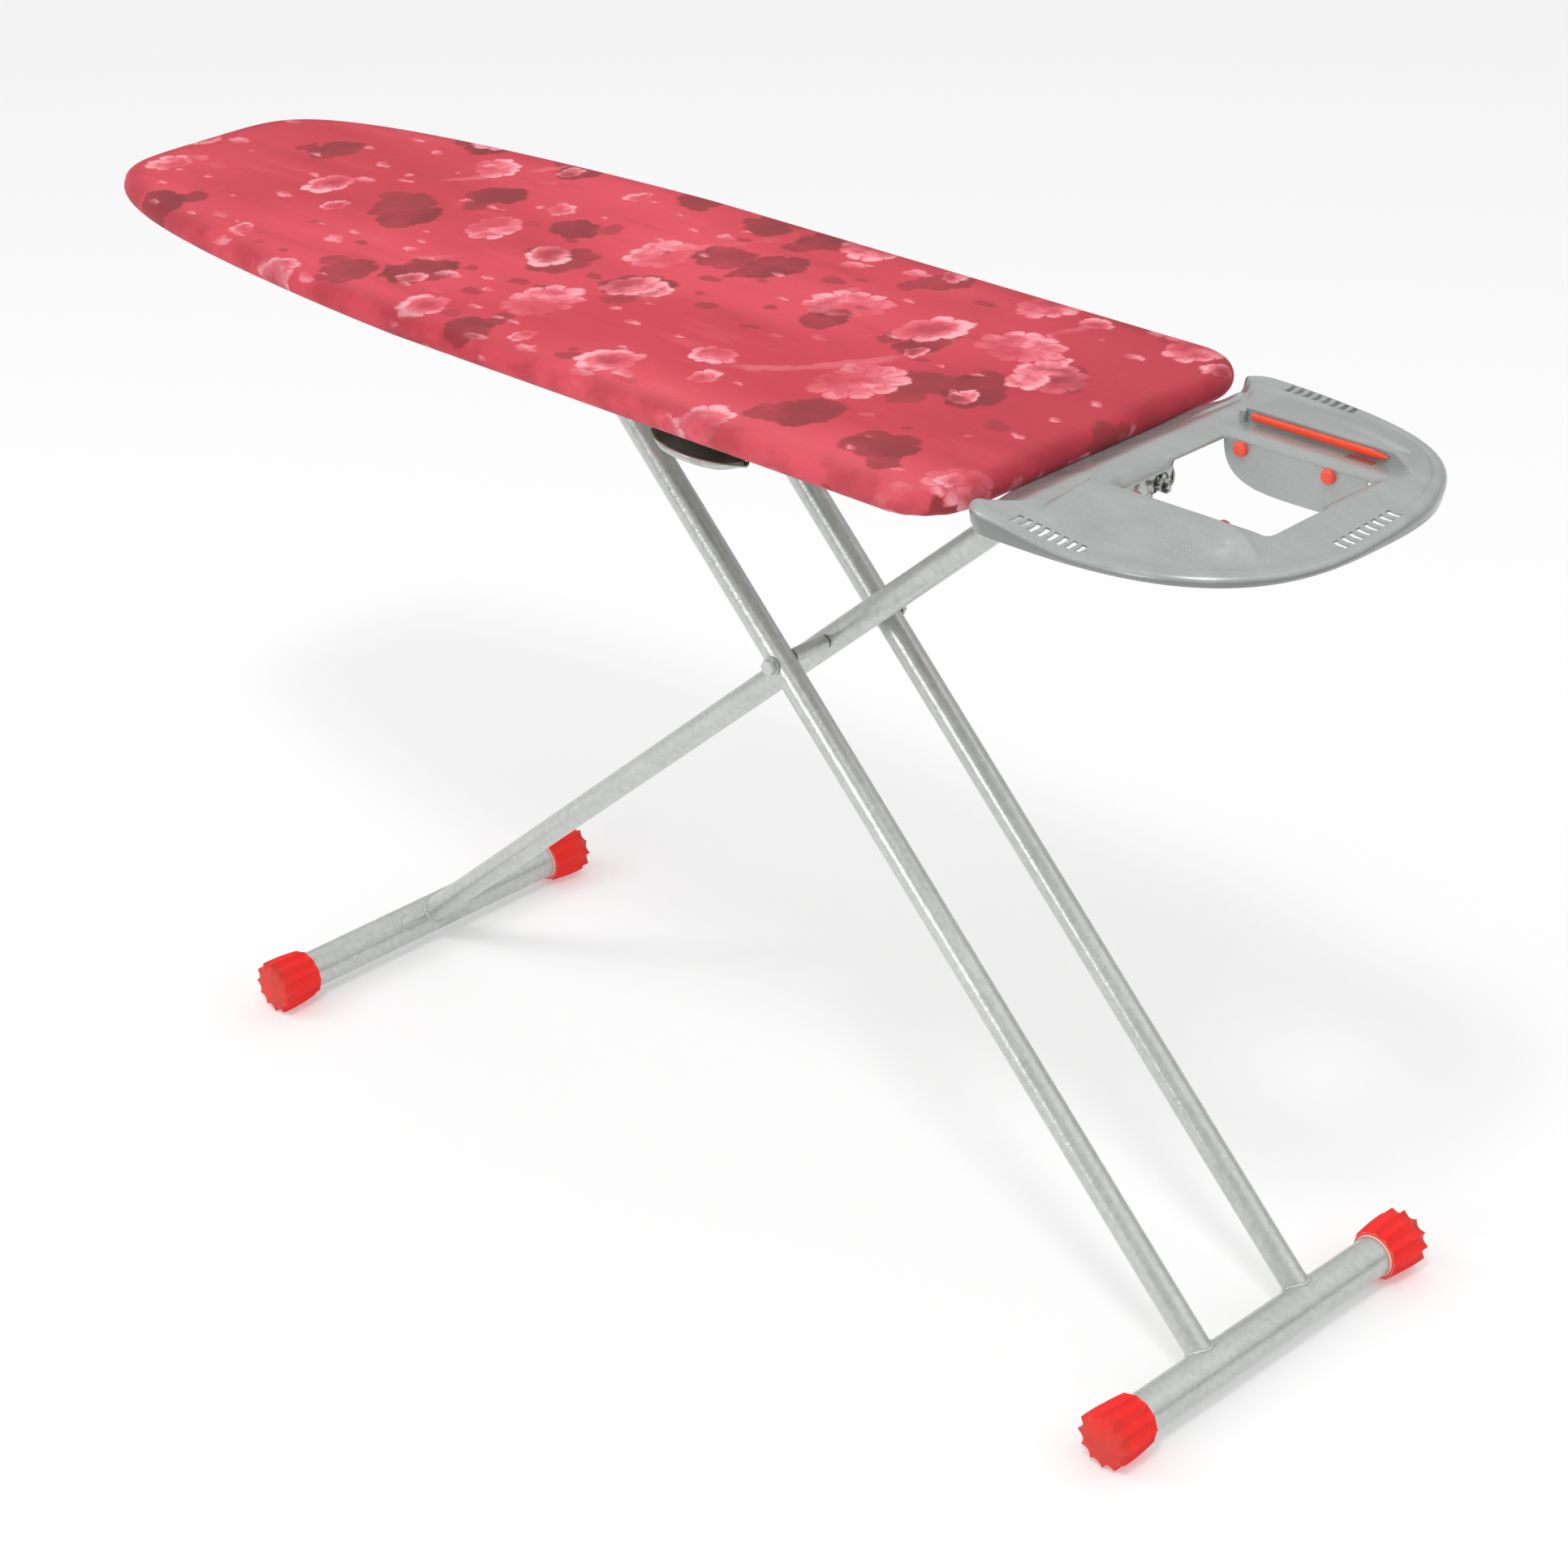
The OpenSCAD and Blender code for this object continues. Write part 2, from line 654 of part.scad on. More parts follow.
module lever_bracket() {
    ear_x = lever_half + side_gap;
    color(steel) difference() {
        union() {
            shaft_ear(lever_x + ear_x);
            shaft_ear(lever_x - ear_x - ear_t);
            translate([lever_x - ear_x - ear_t, -lever_y - ear_w / 2, lever_bracket_top - ear_t])
                cube([2 * (ear_x + ear_t), ear_w, ear_t]);
        }
        shaft_bores();
    }
}

module shaft_bracket() {
    color(steel) difference() {
        union() {
            shaft_ear(track_brace_x);
            translate([track_brace_x - 8, -lever_y - ear_w / 2, lever_bracket_top - ear_t])
                cube([16 + ear_t, ear_w, ear_t]);
        }
        shaft_bores();
    }
}

module lever_shaft() {
    color(dark_steel) along_rod(-lever_y, lever_z, shaft_r, shaft_x0, shaft_x1);
}

module latch_pawl() {
    arm = 14;
    color(dark_steel) difference() {
        union() {
            along_rod(-lever_y, lever_z, eye_r, rod_x - pawl_half, rod_x + pawl_half);
            translate([rod_x - pawl_half, -lever_y + eye_r - ear_t, lever_z - arm])
                cube([2 * pawl_half, ear_t, arm]);
        }
        along_rod(-lever_y, lever_z, shaft_r + shaft_gap, shaft_x0, shaft_x1);
    }
}

// Section of the lever: a flat land by the hinge, a dished skirt and a round lip.
dish_y = -lever_y + 30;
land_r = 30 + eye_r;
lip_r = 3;
lip_z = lever_z - lever_dish_h;
lever_profile = [[land_r, lever_z - lever_t / 2], [land_r, lever_z + lever_t / 2],
    [lever_dish_r - 38, lever_z - 3 + lever_t / 2],
    [lever_dish_r - 14, lip_z + lever_t + 4],
    [lever_dish_r - lip_r, lip_z + lever_t / 2], [lever_dish_r - lip_r, lip_z - lever_t / 2],
    [lever_dish_r - 16, lip_z + 2], [lever_dish_r - 38, lever_z - 3 - lever_t / 2]];

module height_lever() {
    color(steel) difference() {
        union() {
            intersection() {
                translate([lever_x, dish_y, 0]) rotate_extrude() union() {
                    polygon(lever_profile);
                    translate([lever_dish_r - lip_r, lip_z]) circle(r = lip_r);
                }
                translate([lever_x - lever_half, dish_y - lever_dish_r - cut,
                    lip_z - 2 * lip_r])
                    cube([lever_len, lever_dish_r - land_r + 2 * cut, 3 * lever_dish_h]);
            }
            translate([lever_x - lever_half, -lever_y - eye_r - 22, lever_z - lever_t / 2])
                cube([lever_len, eye_r + 22, lever_t]);
            along_rod(-lever_y, lever_z, eye_r, lever_x - lever_half, lever_x + lever_half);
        }
        along_rod(-lever_y, lever_z, shaft_r + shaft_gap, shaft_x0, shaft_x1 + cut);
        translate([lever_x - spring_half - 1, -lever_y - eye_r - 2.5, lever_z - 2 * eye_r])
            cube([2 * spring_half + 2, 2 * eye_r + 5, 4 * eye_r]);
    }
}

// Torsion spring round the lever's shaft: a wire swept along a helix.
module lever_spring() {
    wire_r = 0.8;
    coil_r = shaft_r + wire_r + 0.4;
    turns = 5;
    rings = 16 * turns;
    sides = 8;
    length = 2 * spring_half - 2;
    points = [for (k = [0 : rings], j = [0 : sides - 1])
        let (a = 360 * turns * k / rings, b = 360 * j / sides, r = coil_r + wire_r * cos(b))
        [lever_x - length / 2 + length * k / rings + wire_r * sin(b),
         -lever_y + r * cos(a), lever_z + r * sin(a)]];
    walls = [for (k = [0 : rings - 1], j = [0 : sides - 1]) let (m = (j + 1) % sides)
        [k * sides + j, (k + 1) * sides + j, (k + 1) * sides + m, k * sides + m]];
    first = [for (j = [0 : sides - 1]) j];
    last = [for (j = [sides - 1 : -1 : 0]) rings * sides + j];
    color(dark_steel) polyhedron(points, concat([first], walls, [last]));
}

// Single leg: a tube from its foot bar to the hinge under the board's end.
module single_leg() {
    color(steel) difference() {
        leaning(single_foot_x, 0, single_tilt)
            tube(leg_r, leg_wall, single_len + leg_end_past_pin);
        cross_rod(single_foot_x, foot_axis_h, bar_r + weld_gap, -4 * leg_r, 4 * leg_r);
        cross_rod(hinge_x, hinge_z, bush_r + shaft_gap, -2 * leg_r, 2 * leg_r);
        cross_rod(pivot_x, pivot_z, pivot_bush_r + shaft_gap, -2 * leg_r, 2 * leg_r);
    }
}

bush_half = bracket_gap - side_gap;
module hinge_bush() {
    color([0.25, 0.25, 0.26])
    cross_tube(hinge_x, hinge_z, bush_r, pin_r + turn_gap, -bush_half, bush_half);
}

pivot_bush_half = leg_r + 1;
module pivot_bush() {
    color([0.25, 0.25, 0.26])
    cross_tube(pivot_x, pivot_z, pivot_bush_r, bolt_r + turn_gap,
        -pivot_bush_half, pivot_bush_half);
}

// Foot bars and their ribbed end caps.
module foot_bar(x) {
    bar_half = cap_start + cap_socket - seat_gap;
    color(steel) cross_tube(x, foot_axis_h, bar_r, bar_r - bar_wall, -bar_half, bar_half);
}

module single_foot_bar() { foot_bar(single_foot_x); }
module twin_foot_bar() { foot_bar(twin_foot_x); }

module foot_cap(x, s) {
    rib_r = 3.2;
    waist = 2;
    cap_profile = [[0, 0], [cap_body_r - waist, 0], [cap_body_r, 6], [cap_body_r, cap_len - 12],
        [cap_body_r - 2, cap_len - 5], [cap_body_r - 8, cap_len], [0, cap_len]];
    color(cap_red) difference() {
        translate([x, s * cap_start, foot_axis_h]) rotate([-90 * s, 0, 0]) union() {
            rotate_extrude() polygon(cap_profile);
            for (i = [0 : cap_ribs - 1]) rotate([0, 0, 90 * s + 360 * i / cap_ribs])
                translate([0, cap_rib_r - rib_r, 5]) {
                    cylinder(r = rib_r, h = cap_len - 12);
                    translate([0, 0, cap_len - 12]) sphere(r = rib_r);
                    sphere(r = rib_r);
                }
        }
        cross_rod(x, foot_axis_h, bar_r + seat_gap / 2,
            s > 0 ? cap_start - cut : -cap_start - cap_socket,
            s > 0 ? cap_start + cap_socket : -cap_start + cut);
        translate([x - 2 * cap_rib_r, s > 0 ? 0 : -2 * cap_start, -2 * cap_rib_r])
            cube([4 * cap_rib_r, 2 * cap_start, 2 * cap_rib_r]);
    }
}

module single_foot_cap_front() { foot_cap(single_foot_x, -1); }
module single_foot_cap_back() { foot_cap(single_foot_x, 1); }
module twin_foot_cap_front() { foot_cap(twin_foot_x, -1); }
module twin_foot_cap_back() { foot_cap(twin_foot_x, 1); }

// Twin legs: two tubes from their foot bar to the locking rod.
module twin_leg(y) {
    color(steel) difference() {
        leaning(twin_foot_x, y, twin_tilt)
            tube(leg_r, leg_wall, twin_len + leg_end_past_rod);
        cross_rod(twin_foot_x, foot_axis_h, bar_r + weld_gap, y - 4 * leg_r, y + 4 * leg_r);
        cross_rod(rod_x, hinge_z, rod_r + shaft_gap, y - 2 * leg_r, y + 2 * leg_r);
        cross_rod(pivot_x, pivot_z, bolt_r + shaft_gap, y - 2 * leg_r, y + 2 * leg_r);
    }
}

module twin_leg_front() { twin_leg(-twin_y); }
module twin_leg_back() { twin_leg(twin_y); }

module leg_end_plugs() {
    head_t = 2.5;
    stem_len = 7;
    color([0.25, 0.25, 0.26]) for (s = [-1, 1]) leaning(twin_foot_x, s * twin_y, twin_tilt)
        translate([0, 0, twin_len + leg_end_past_rod + 0.05]) {
            cylinder(r1 = leg_r, r2 = leg_r - 2, h = head_t);
            translate([0, 0, -stem_len]) cylinder(r = leg_r - leg_wall - 0.1, h = stem_len + 0.1);
        }
}

rod_half = twin_y + leg_r + 1;
module locking_rod() {
    color(dark_steel) cross_rod(rod_x, hinge_z, rod_r, -rod_half, rod_half);
}

// Scissor pivot: a bolt through both twin legs and the single leg's bush.
washer_t = 1.2;
head_y = twin_y + leg_r + washer_t + 2 * seat_gap;
pivot_head_t = 5;

module pivot_bolt() {
    color(dark_steel) union() {
        cross_rod(pivot_x, pivot_z, bolt_r, -head_y - 1, head_y + pivot_head_t + 1);
        hex_across(pivot_x, pivot_z, 2 * bolt_r - 0.5, -head_y - pivot_head_t, -head_y);
    }
}

module pivot_nut() {
    color(steel) difference() {
        hex_across(pivot_x, pivot_z, 2 * bolt_r - 0.5, head_y, head_y + pivot_head_t);
        cross_rod(pivot_x, pivot_z, bolt_r + shaft_gap, head_y - cut, head_y + pivot_head_t + cut);
    }
}

module pivot_washers() {
    color(steel) for (s = [-1, 1])
        cross_tube(pivot_x, pivot_z, 2.3 * bolt_r, bolt_r + shaft_gap,
            s > 0 ? head_y - seat_gap - washer_t : -head_y + seat_gap,
            s > 0 ? head_y - seat_gap : -head_y + seat_gap + washer_t);
}

module pivot_spacers() {
    near = pivot_bush_half + 0.3;
    far = twin_y - leg_r - 0.3;
    color(steel) for (s = [-1, 1])
        cross_tube(pivot_x, pivot_z, bolt_r + spacer_wall, bolt_r + shaft_gap,
            s > 0 ? near : -far, s > 0 ? far : -near);
}

cover();
cover_draw_cord();
foam_pad();
mesh_panel();
rim_channel();
track_rail_front();
track_rail_back();
brace_nose();
brace_track();
brace_middle();
brace_end();
frame_rivets();
hinge_bracket();
hinge_pin();
hinge_pin_clips();
iron_tray();
silicone_strip_front();
silicone_strip_back();
bumper_buttons_front();
bumper_buttons_back();
tray_bolt();
tray_nut();
lever_bracket();
shaft_bracket();
lever_spring();
height_lever();
lever_shaft();
latch_pawl();
single_leg();
hinge_bush();
pivot_bush();
single_foot_bar();
single_foot_cap_front();
single_foot_cap_back();
twin_leg_front();
twin_leg_back();
leg_end_plugs();
locking_rod();
pivot_bolt();
pivot_washers();
pivot_spacers();
pivot_nut();
twin_foot_bar();
twin_foot_cap_front();
twin_foot_cap_back();
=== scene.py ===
import json
import math

import bmesh
import bpy
import numpy as np
from mathutils import Matrix, Vector

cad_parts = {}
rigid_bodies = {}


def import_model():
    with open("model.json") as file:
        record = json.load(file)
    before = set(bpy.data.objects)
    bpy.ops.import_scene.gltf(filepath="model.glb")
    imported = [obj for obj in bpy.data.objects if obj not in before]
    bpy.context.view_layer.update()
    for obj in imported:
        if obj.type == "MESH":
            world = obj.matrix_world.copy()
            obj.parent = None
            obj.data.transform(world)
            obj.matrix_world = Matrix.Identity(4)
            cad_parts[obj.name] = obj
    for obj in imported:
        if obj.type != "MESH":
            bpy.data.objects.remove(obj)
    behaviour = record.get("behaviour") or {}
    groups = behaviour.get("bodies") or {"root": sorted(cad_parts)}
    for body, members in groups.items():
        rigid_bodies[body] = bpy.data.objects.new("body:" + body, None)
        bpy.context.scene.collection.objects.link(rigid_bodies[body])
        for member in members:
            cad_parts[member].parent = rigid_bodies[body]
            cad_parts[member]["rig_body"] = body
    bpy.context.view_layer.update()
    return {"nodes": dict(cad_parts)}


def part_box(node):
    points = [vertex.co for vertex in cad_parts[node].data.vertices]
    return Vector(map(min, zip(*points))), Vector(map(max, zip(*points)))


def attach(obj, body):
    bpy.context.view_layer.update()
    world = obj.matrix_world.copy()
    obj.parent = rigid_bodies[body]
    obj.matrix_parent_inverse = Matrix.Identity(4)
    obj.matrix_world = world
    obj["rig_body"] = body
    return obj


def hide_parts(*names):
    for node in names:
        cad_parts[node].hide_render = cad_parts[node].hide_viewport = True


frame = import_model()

MM = 0.001
TURN = 2 * math.pi


# ---------------------------------------------------------------- camera and light

CAMERA_PLACE = (2.3328, -2.1544, 1.9805)
CAMERA_YAW, CAMERA_PITCH, CAMERA_ROLL = 46.356, 27.281, -2.340
CAMERA_LENS = 87.5


def make_camera():
    """The camera looks along its yaw and pitch, and its upright is then rolled a little."""
    yaw, pitch, roll = (math.radians(a) for a in (CAMERA_YAW, CAMERA_PITCH, CAMERA_ROLL))
    look = Vector((-math.sin(yaw) * math.cos(pitch), math.cos(yaw) * math.cos(pitch),
                   -math.sin(pitch)))
    right = Vector((math.cos(yaw), math.sin(yaw), 0))
    up = right.cross(look)
    across = right * math.cos(roll) + up * math.sin(roll)
    upright = up * math.cos(roll) - right * math.sin(roll)
    data = bpy.data.cameras.new("camera")
    data.lens, data.sensor_width = CAMERA_LENS, 36
    data.clip_end = 300
    camera = bpy.data.objects.new("camera", data)
    bpy.context.scene.collection.objects.link(camera)
    turned = Matrix((across, upright, -look)).transposed().to_4x4()
    camera.matrix_world = Matrix.Translation(CAMERA_PLACE) @ turned
    bpy.context.scene.camera = camera


def soft_light(name, place, target, width, height, power):
    """An area light that faces the target point."""
    data = bpy.data.lights.new(name, "AREA")
    data.shape, data.size, data.size_y = "RECTANGLE", width, height
    data.energy = power
    light = bpy.data.objects.new(name, data)
    bpy.context.scene.collection.objects.link(light)
    towards = Vector(target) - Vector(place)
    light.matrix_world = (Matrix.Translation(place)
                          @ towards.to_track_quat("-Z", "Y").to_matrix().to_4x4())


def make_studio():
    """A pale sky that dims towards the horizon, most of all beyond the tray, with a high
    key light, a low light in front of the legs and a broad weak one."""
    scene = bpy.context.scene
    scene.view_settings.view_transform = "Standard"
    scene.view_settings.look = "None"
    world = bpy.data.worlds.new("studio")
    world.use_nodes = True
    tree = world.node_tree
    sky = tree.nodes["Background"]
    way = tree.nodes.new("ShaderNodeSeparateXYZ")
    tree.links.new(tree.nodes.new("ShaderNodeTexCoord").outputs["Generated"], way.inputs[0])
    shades = []
    for part, values in (("Z", (0.0, 0.75, 0.42, 1.0)), ("X", (0.15, 0.95, 1.0, 0.55))):
        shade = tree.nodes.new("ShaderNodeMapRange")
        for socket, value in zip(("From Min", "From Max", "To Min", "To Max"), values):
            shade.inputs[socket].default_value = value
        tree.links.new(way.outputs[part], shade.inputs["Value"])
        shades.append(shade.outputs[0])
    product = tree.nodes.new("ShaderNodeMath")
    product.operation = "MULTIPLY"
    for socket, shade in zip(product.inputs, shades):
        tree.links.new(shade, socket)
    tree.links.new(product.outputs[0], sky.inputs["Color"])
    sky.inputs["Strength"].default_value = 0.92
    scene.world = world
    middle = (0.1, 0, 0.5)
    soft_light("key_light", (2.0, -2.7, 6.0), middle, 1.0, 1.0, 96)
    soft_light("leg_light", (0.42, -3.2, 1.05), (0.25, 0, 0.4), 0.5, 0.9, 12)
    soft_light("nose_light", (-2.6, -2.2, 3.0), (-0.4, 0, 0.7), 1.6, 1.6, 22)
    soft_light("side_light", (3.4, 1.2, 3.2), middle, 4.5, 4.5, 36)


make_camera()
make_studio()


# ---------------------------------------------------------------- finishes

def shown(red, green, blue):
    """The linear colour of a shade given as it is seen, from 0 to 255."""
    part = np.array([red, green, blue]) / 255
    linear = np.where(part <= 0.04045, part / 12.92, ((part + 0.055) / 1.055) ** 2.4)
    return (*(float(v) for v in linear), 1.0)


class Finish:
    """One material: a Principled shader, and short ways to add nodes in front of it."""

    def __init__(self, name, colour, roughness, metallic=0.0, **sockets):
        self.material = bpy.data.materials.new(name)
        self.material.use_nodes = True
        tree = self.material.node_tree
        self.nodes, self.links = tree.nodes, tree.links
        self.shader = self.nodes["Principled BSDF"]
        self.set("Base Color", colour)
        self.set("Roughness", roughness)
        self.set("Metallic", metallic)
        for socket, value in sockets.items():
            self.set(socket.replace("_", " "), value)

    def set(self, socket, value):
        """Gives a socket of the shader a constant, or links it."""
        self.plug(self.shader.inputs[socket], value)

    def plug(self, socket, value):
        """Gives any socket a constant, or links it."""
        if isinstance(value, bpy.types.NodeSocket):
            self.links.new(value, socket)
        else:
            socket.default_value = value

    def node(self, kind, inputs=(), **settings):
        """A new shader node with its settings and inputs."""
        made = self.nodes.new("ShaderNode" + kind)
        for name, value in settings.items():
            setattr(made, name, value)
        for name, value in dict(inputs).items():
            self.plug(made.inputs[name], value)
        return made

    def math(self, operation, a, b=0.0, c=0.0):
        """A sum, product or other simple reckoning of up to three values."""
        return self.node("Math", {0: a, 1: b, 2: c}, operation=operation).outputs[0]

    def vector(self, operation, a, b=(0, 0, 0)):
        """The same for vectors."""
        return self.node("VectorMath", {0: a, 1: b}, operation=operation).outputs[0]

    def object_place(self):
        """The point's place in metres."""
        return self.node("TexCoord").outputs["Object"]

    def scaled(self, place, scale, turn=(0, 0, 0)):
        """A place that is turned and stretched, for grain that runs one way."""
        inputs = {"Vector": place, "Scale": scale, "Rotation": turn}
        return self.node("Mapping", inputs).outputs[0]

    def noise(self, place, size, detail=3.0, roughness=0.5):
        """Cloudy noise from 0 to 1, whose patches are about `size` metres across."""
        inputs = {"Vector": place, "Scale": 1 / size, "Detail": detail, "Roughness": roughness}
        return self.node("TexNoise", inputs).outputs[0]

    def ramp(self, value, low, high, to_low=0.0, to_high=1.0):
        """A smooth step from to_low to to_high as value goes from low to high."""
        inputs = {"Value": value, "From Min": low, "From Max": high,
                  "To Min": to_low, "To Max": to_high}
        made = self.node("MapRange", inputs, interpolation_type="SMOOTHSTEP")
        return made.outputs[0]

    def blend(self, share, first, second):
        """The first colour where share is 0, and the second where it is 1."""
        made = self.node("Mix", data_type="RGBA")
        for place, value in ((0, share), (6, first), (7, second)):
            self.plug(made.inputs[place], value)
        return made.outputs[2]

    def bump(self, height, depth, strength=1.0):
        """Relief as deep as `depth` metres."""
        inputs = {"Height": height, "Distance": depth, "Strength": strength}
        self.set("Normal", self.node("Bump", inputs).outputs[0])

    def crystals(self, place, size):
        """A random value from 0 to 1 for each grain of about `size` metres."""
        grains = self.node("TexVoronoi", {"Vector": place, "Scale": 1 / size})
        return self.node("SeparateColor", {0: grains.outputs["Color"]}).outputs[0]

    def mottled(self, first, second, cloud, grain, depth, strength):
        """Two tones in cloudy patches over a fine grain; cloud and grain are the size and
        detail of their noise."""
        place = self.object_place()
        self.set("Base Color", self.blend(self.noise(place, *cloud), first, second))
        self.bump(self.noise(place, *grain), depth, strength)
        return self


def tube_paint():
    """Silver-grey paint on drawn tube: a fine orange-peel, mottled patches and scuffs."""
    f = Finish("tube_paint", shown(202, 204, 202), 0.34, 0.55, Coat_Weight=0.25,
               Coat_Roughness=0.2)
    place = f.object_place()
    cloud = f.noise(place, 0.09, 4)
    fine = f.noise(place, 0.004, 2)
    scuff = f.ramp(f.noise(place, 0.03, 6, 0.7), 0.60, 0.78)
    base = f.blend(cloud, shown(186, 190, 187), shown(212, 214, 212))
    mottle = f.ramp(f.noise(place, 0.007, 4, 0.7), 0.40, 0.62, 0.0, 0.30)
    base = f.blend(mottle, base, shown(160, 164, 158))
    f.set("Base Color", f.blend(f.math("MULTIPLY", scuff, 0.25), base, shown(150, 152, 148)))
    f.set("Roughness", f.ramp(f.math("ADD", cloud, scuff), 0.3, 1.4, 0.30, 0.46))
    dents = f.noise(place, 0.016, 4, 0.6)
    f.bump(f.math("MULTIPLY_ADD", dents, 6.0, fine), 0.0002, 0.4)
    return f


def zinc_plate(name, colour, grain=0.02):
    """Zinc plating: a faint spangle of crystals, and a slightly uneven shine."""
    f = Finish(name, colour, 0.38, 0.85)
    place = f.object_place()
    dark = tuple(c * 0.72 for c in colour[:3]) + (1.0,)
    shade = f.ramp(f.crystals(place, grain), 0, 1, 0.0, 0.75)
    f.set("Base Color", f.blend(shade, colour, dark))
    f.set("Roughness", f.ramp(f.noise(place, 0.012, 3), 0.2, 0.8, 0.30, 0.50))
    f.bump(f.noise(place, 0.003, 2), 0.0001, 0.3)
    return f


# How far above the lip's bottom the painted shade of the dish begins.
LIP_UNSHADED = 4.8 * MM


def pressed_steel():
    """Plated sheet that is bright on the curled lip; the dish above it is painted dark
    green-black, as painted shade where it lies under the board."""
    f = zinc_plate("pressed_steel", shown(198, 200, 194), 0.03)
    place = f.object_place()
    lip_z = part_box("height_lever")[0].z
    f.set("Metallic", 0.5)
    bright = f.shader.inputs["Base Color"].links[0].from_socket
    height = f.node("SeparateXYZ", {0: place}).outputs[2]
    # Painted shade: the dish above the lip is darkened to a mottled green-black.
    dish = f.ramp(height, lip_z + LIP_UNSHADED, lip_z + 6.5 * MM)
    painted_dish_shade = f.blend(f.noise(place, 0.012, 4), shown(26, 30, 24), shown(84, 88, 72))
    f.set("Base Color", f.blend(f.math("MULTIPLY", dish, 0.95), bright, painted_dish_shade))
    return f


def cast_zinc():
    """Rough cast zinc: bright grains among dark pits."""
    f = Finish("cast_zinc", shown(176, 178, 174), 0.45, 0.6)
    place = f.object_place()
    shade = f.ramp(f.crystals(place, 0.0035), 0.35, 0.75)
    base = f.blend(shade, shown(196, 198, 192), shown(96, 98, 92))
    f.set("Base Color", f.blend(f.ramp(f.noise(place, 0.006, 3), 0.55, 0.68), base,
                                shown(44, 46, 44)))
    f.bump(f.noise(place, 0.0025, 3), 0.0008, 0.6)
    return f


def turned_steel(name, colour, roughness=0.3):
    """Plated fasteners: fine turning marks and a darker tone in patches."""
    f = Finish(name, colour, roughness, 0.9)
    place = f.object_place()
    marks = f.noise(f.scaled(place, (1, 12, 1)), 0.002, 2)
    patch = f.noise(place, 0.008, 3)
    dark = tuple(c * 0.6 for c in colour[:3]) + (1.0,)
    f.set("Base Color", f.blend(f.ramp(patch, 0.35, 0.75), colour, dark))
    f.bump(marks, 0.0001, 0.4)
    return f


def frame_paint():
    """Grey powder coat: a fine pebbled skin."""
    f = Finish("frame_paint", shown(168, 171, 169), 0.5, 0.2)
    return f.mottled(shown(156, 160, 158), shown(182, 184, 182), (0.05, 3), (0.0012, 2),
                     0.0002, 0.5)


def tray_plastic():
    """Silver-grey moulded plastic: metallic flecks, flow marks and a fine satin texture.
    It is painted darker, as shade, where the mesh's attribute `wall` is 1: see mark_wall_shade."""
    f = Finish("tray_plastic", shown(170, 174, 172), 0.34, 0.35, Coat_Weight=0.6,
               Coat_Roughness=0.13)
    place = f.object_place()
    fleck = f.ramp(f.noise(place, 0.0012, 1), 0.62, 0.80)
    flow = f.noise(f.scaled(place, (1, 3.5, 1), (0, 0, 0.5)), 0.06, 4, 0.55)
    base = f.blend(flow, shown(146, 151, 149), shown(176, 180, 178))
    base = f.blend(f.math("MULTIPLY", fleck, 0.5), base, shown(222, 224, 223))
    # Painted shade: the outer wall's colour is darkened towards a dark grey.
    painted_wall_shade = f.node("Attribute", attribute_name="wall").outputs["Fac"]
    wall = f.math("MULTIPLY", painted_wall_shade, 0.62)
    f.set("Base Color", f.blend(wall, base, shown(84, 87, 86)))
    f.set("Roughness", f.ramp(flow, 0.3, 0.7, 0.28, 0.40))
    f.bump(f.noise(place, 0.0009, 2), 0.00012, 0.5)
    return f


cap_low, cap_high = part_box("twin_foot_cap_back")
CAP_LIP, CAP_END = cap_low.y, cap_high.y
CAP_DUST_AND_SHADE = 16 * MM


def cap_plastic():
    """Bright red moulded plastic with a soft shine, pale at the thin lip on the bar, and painted
    browner in patches towards its end, as painted shade and dust."""
    f = Finish("cap_plastic", shown(232, 52, 48), 0.45, Subsurface_Weight=0.08)
    f.set("Specular IOR Level", 0.35)
    f.set("Subsurface Radius", (0.004, 0.001, 0.001))
    place = f.object_place()
    cloud = f.noise(place, 0.02, 4)
    base = f.blend(cloud, shown(234, 26, 26), shown(250, 44, 36))
    reach = f.math("ABSOLUTE", f.node("SeparateXYZ", {0: place}).outputs[1])
    # Painted shade and dust: the cap's outer end is browned in patches.
    dust_and_shade = f.math("MULTIPLY", f.ramp(reach, CAP_END - CAP_DUST_AND_SHADE, CAP_END),
                  f.ramp(f.noise(place, 0.03, 3), 0.35, 0.62, 0.25, 0.8))
    base = f.blend(dust_and_shade, base, shown(196, 58, 44))
    base = f.blend(f.ramp(reach, CAP_LIP + 0.3 * MM, CAP_LIP - 0.3 * MM, 0.0, 0.85), base,
                   shown(246, 214, 196))
    f.set("Base Color", base)
    f.bump(f.noise(place, 0.0015, 3), 0.0002, 0.4)
    return f


def silicone(name, first, second):
    """Soft silicone: an even, slightly dusty skin."""
    f = Finish(name, first, 0.48, Subsurface_Weight=0.1)
    f.set("Subsurface Radius", (0.003, 0.0008, 0.0006))
    return f.mottled(first, second, (0.01, 4), (0.001, 3), 0.00015, 0.4)


def dark_nylon():
    """Dark nylon with a faint mould grain."""
    f = Finish("dark_nylon", shown(62, 63, 65), 0.5)
    return f.mottled(shown(52, 53, 55), shown(80, 81, 83), (0.004, 3), (0.001, 2), 0.0001, 0.4)


def open_foam():
    """Open-cell foam: pale, with small pores."""
    f = Finish("open_foam", shown(236, 230, 208), 0.9)
    place = f.object_place()
    pore = f.node("TexVoronoi", {"Vector": place, "Scale": 1 / 0.0025}).outputs["Distance"]
    f.set("Base Color", f.blend(f.ramp(pore, 0.1, 0.6), shown(208, 198, 170),
                                shown(240, 235, 216)))
    f.bump(pore, 0.0006, 0.7)
    return f


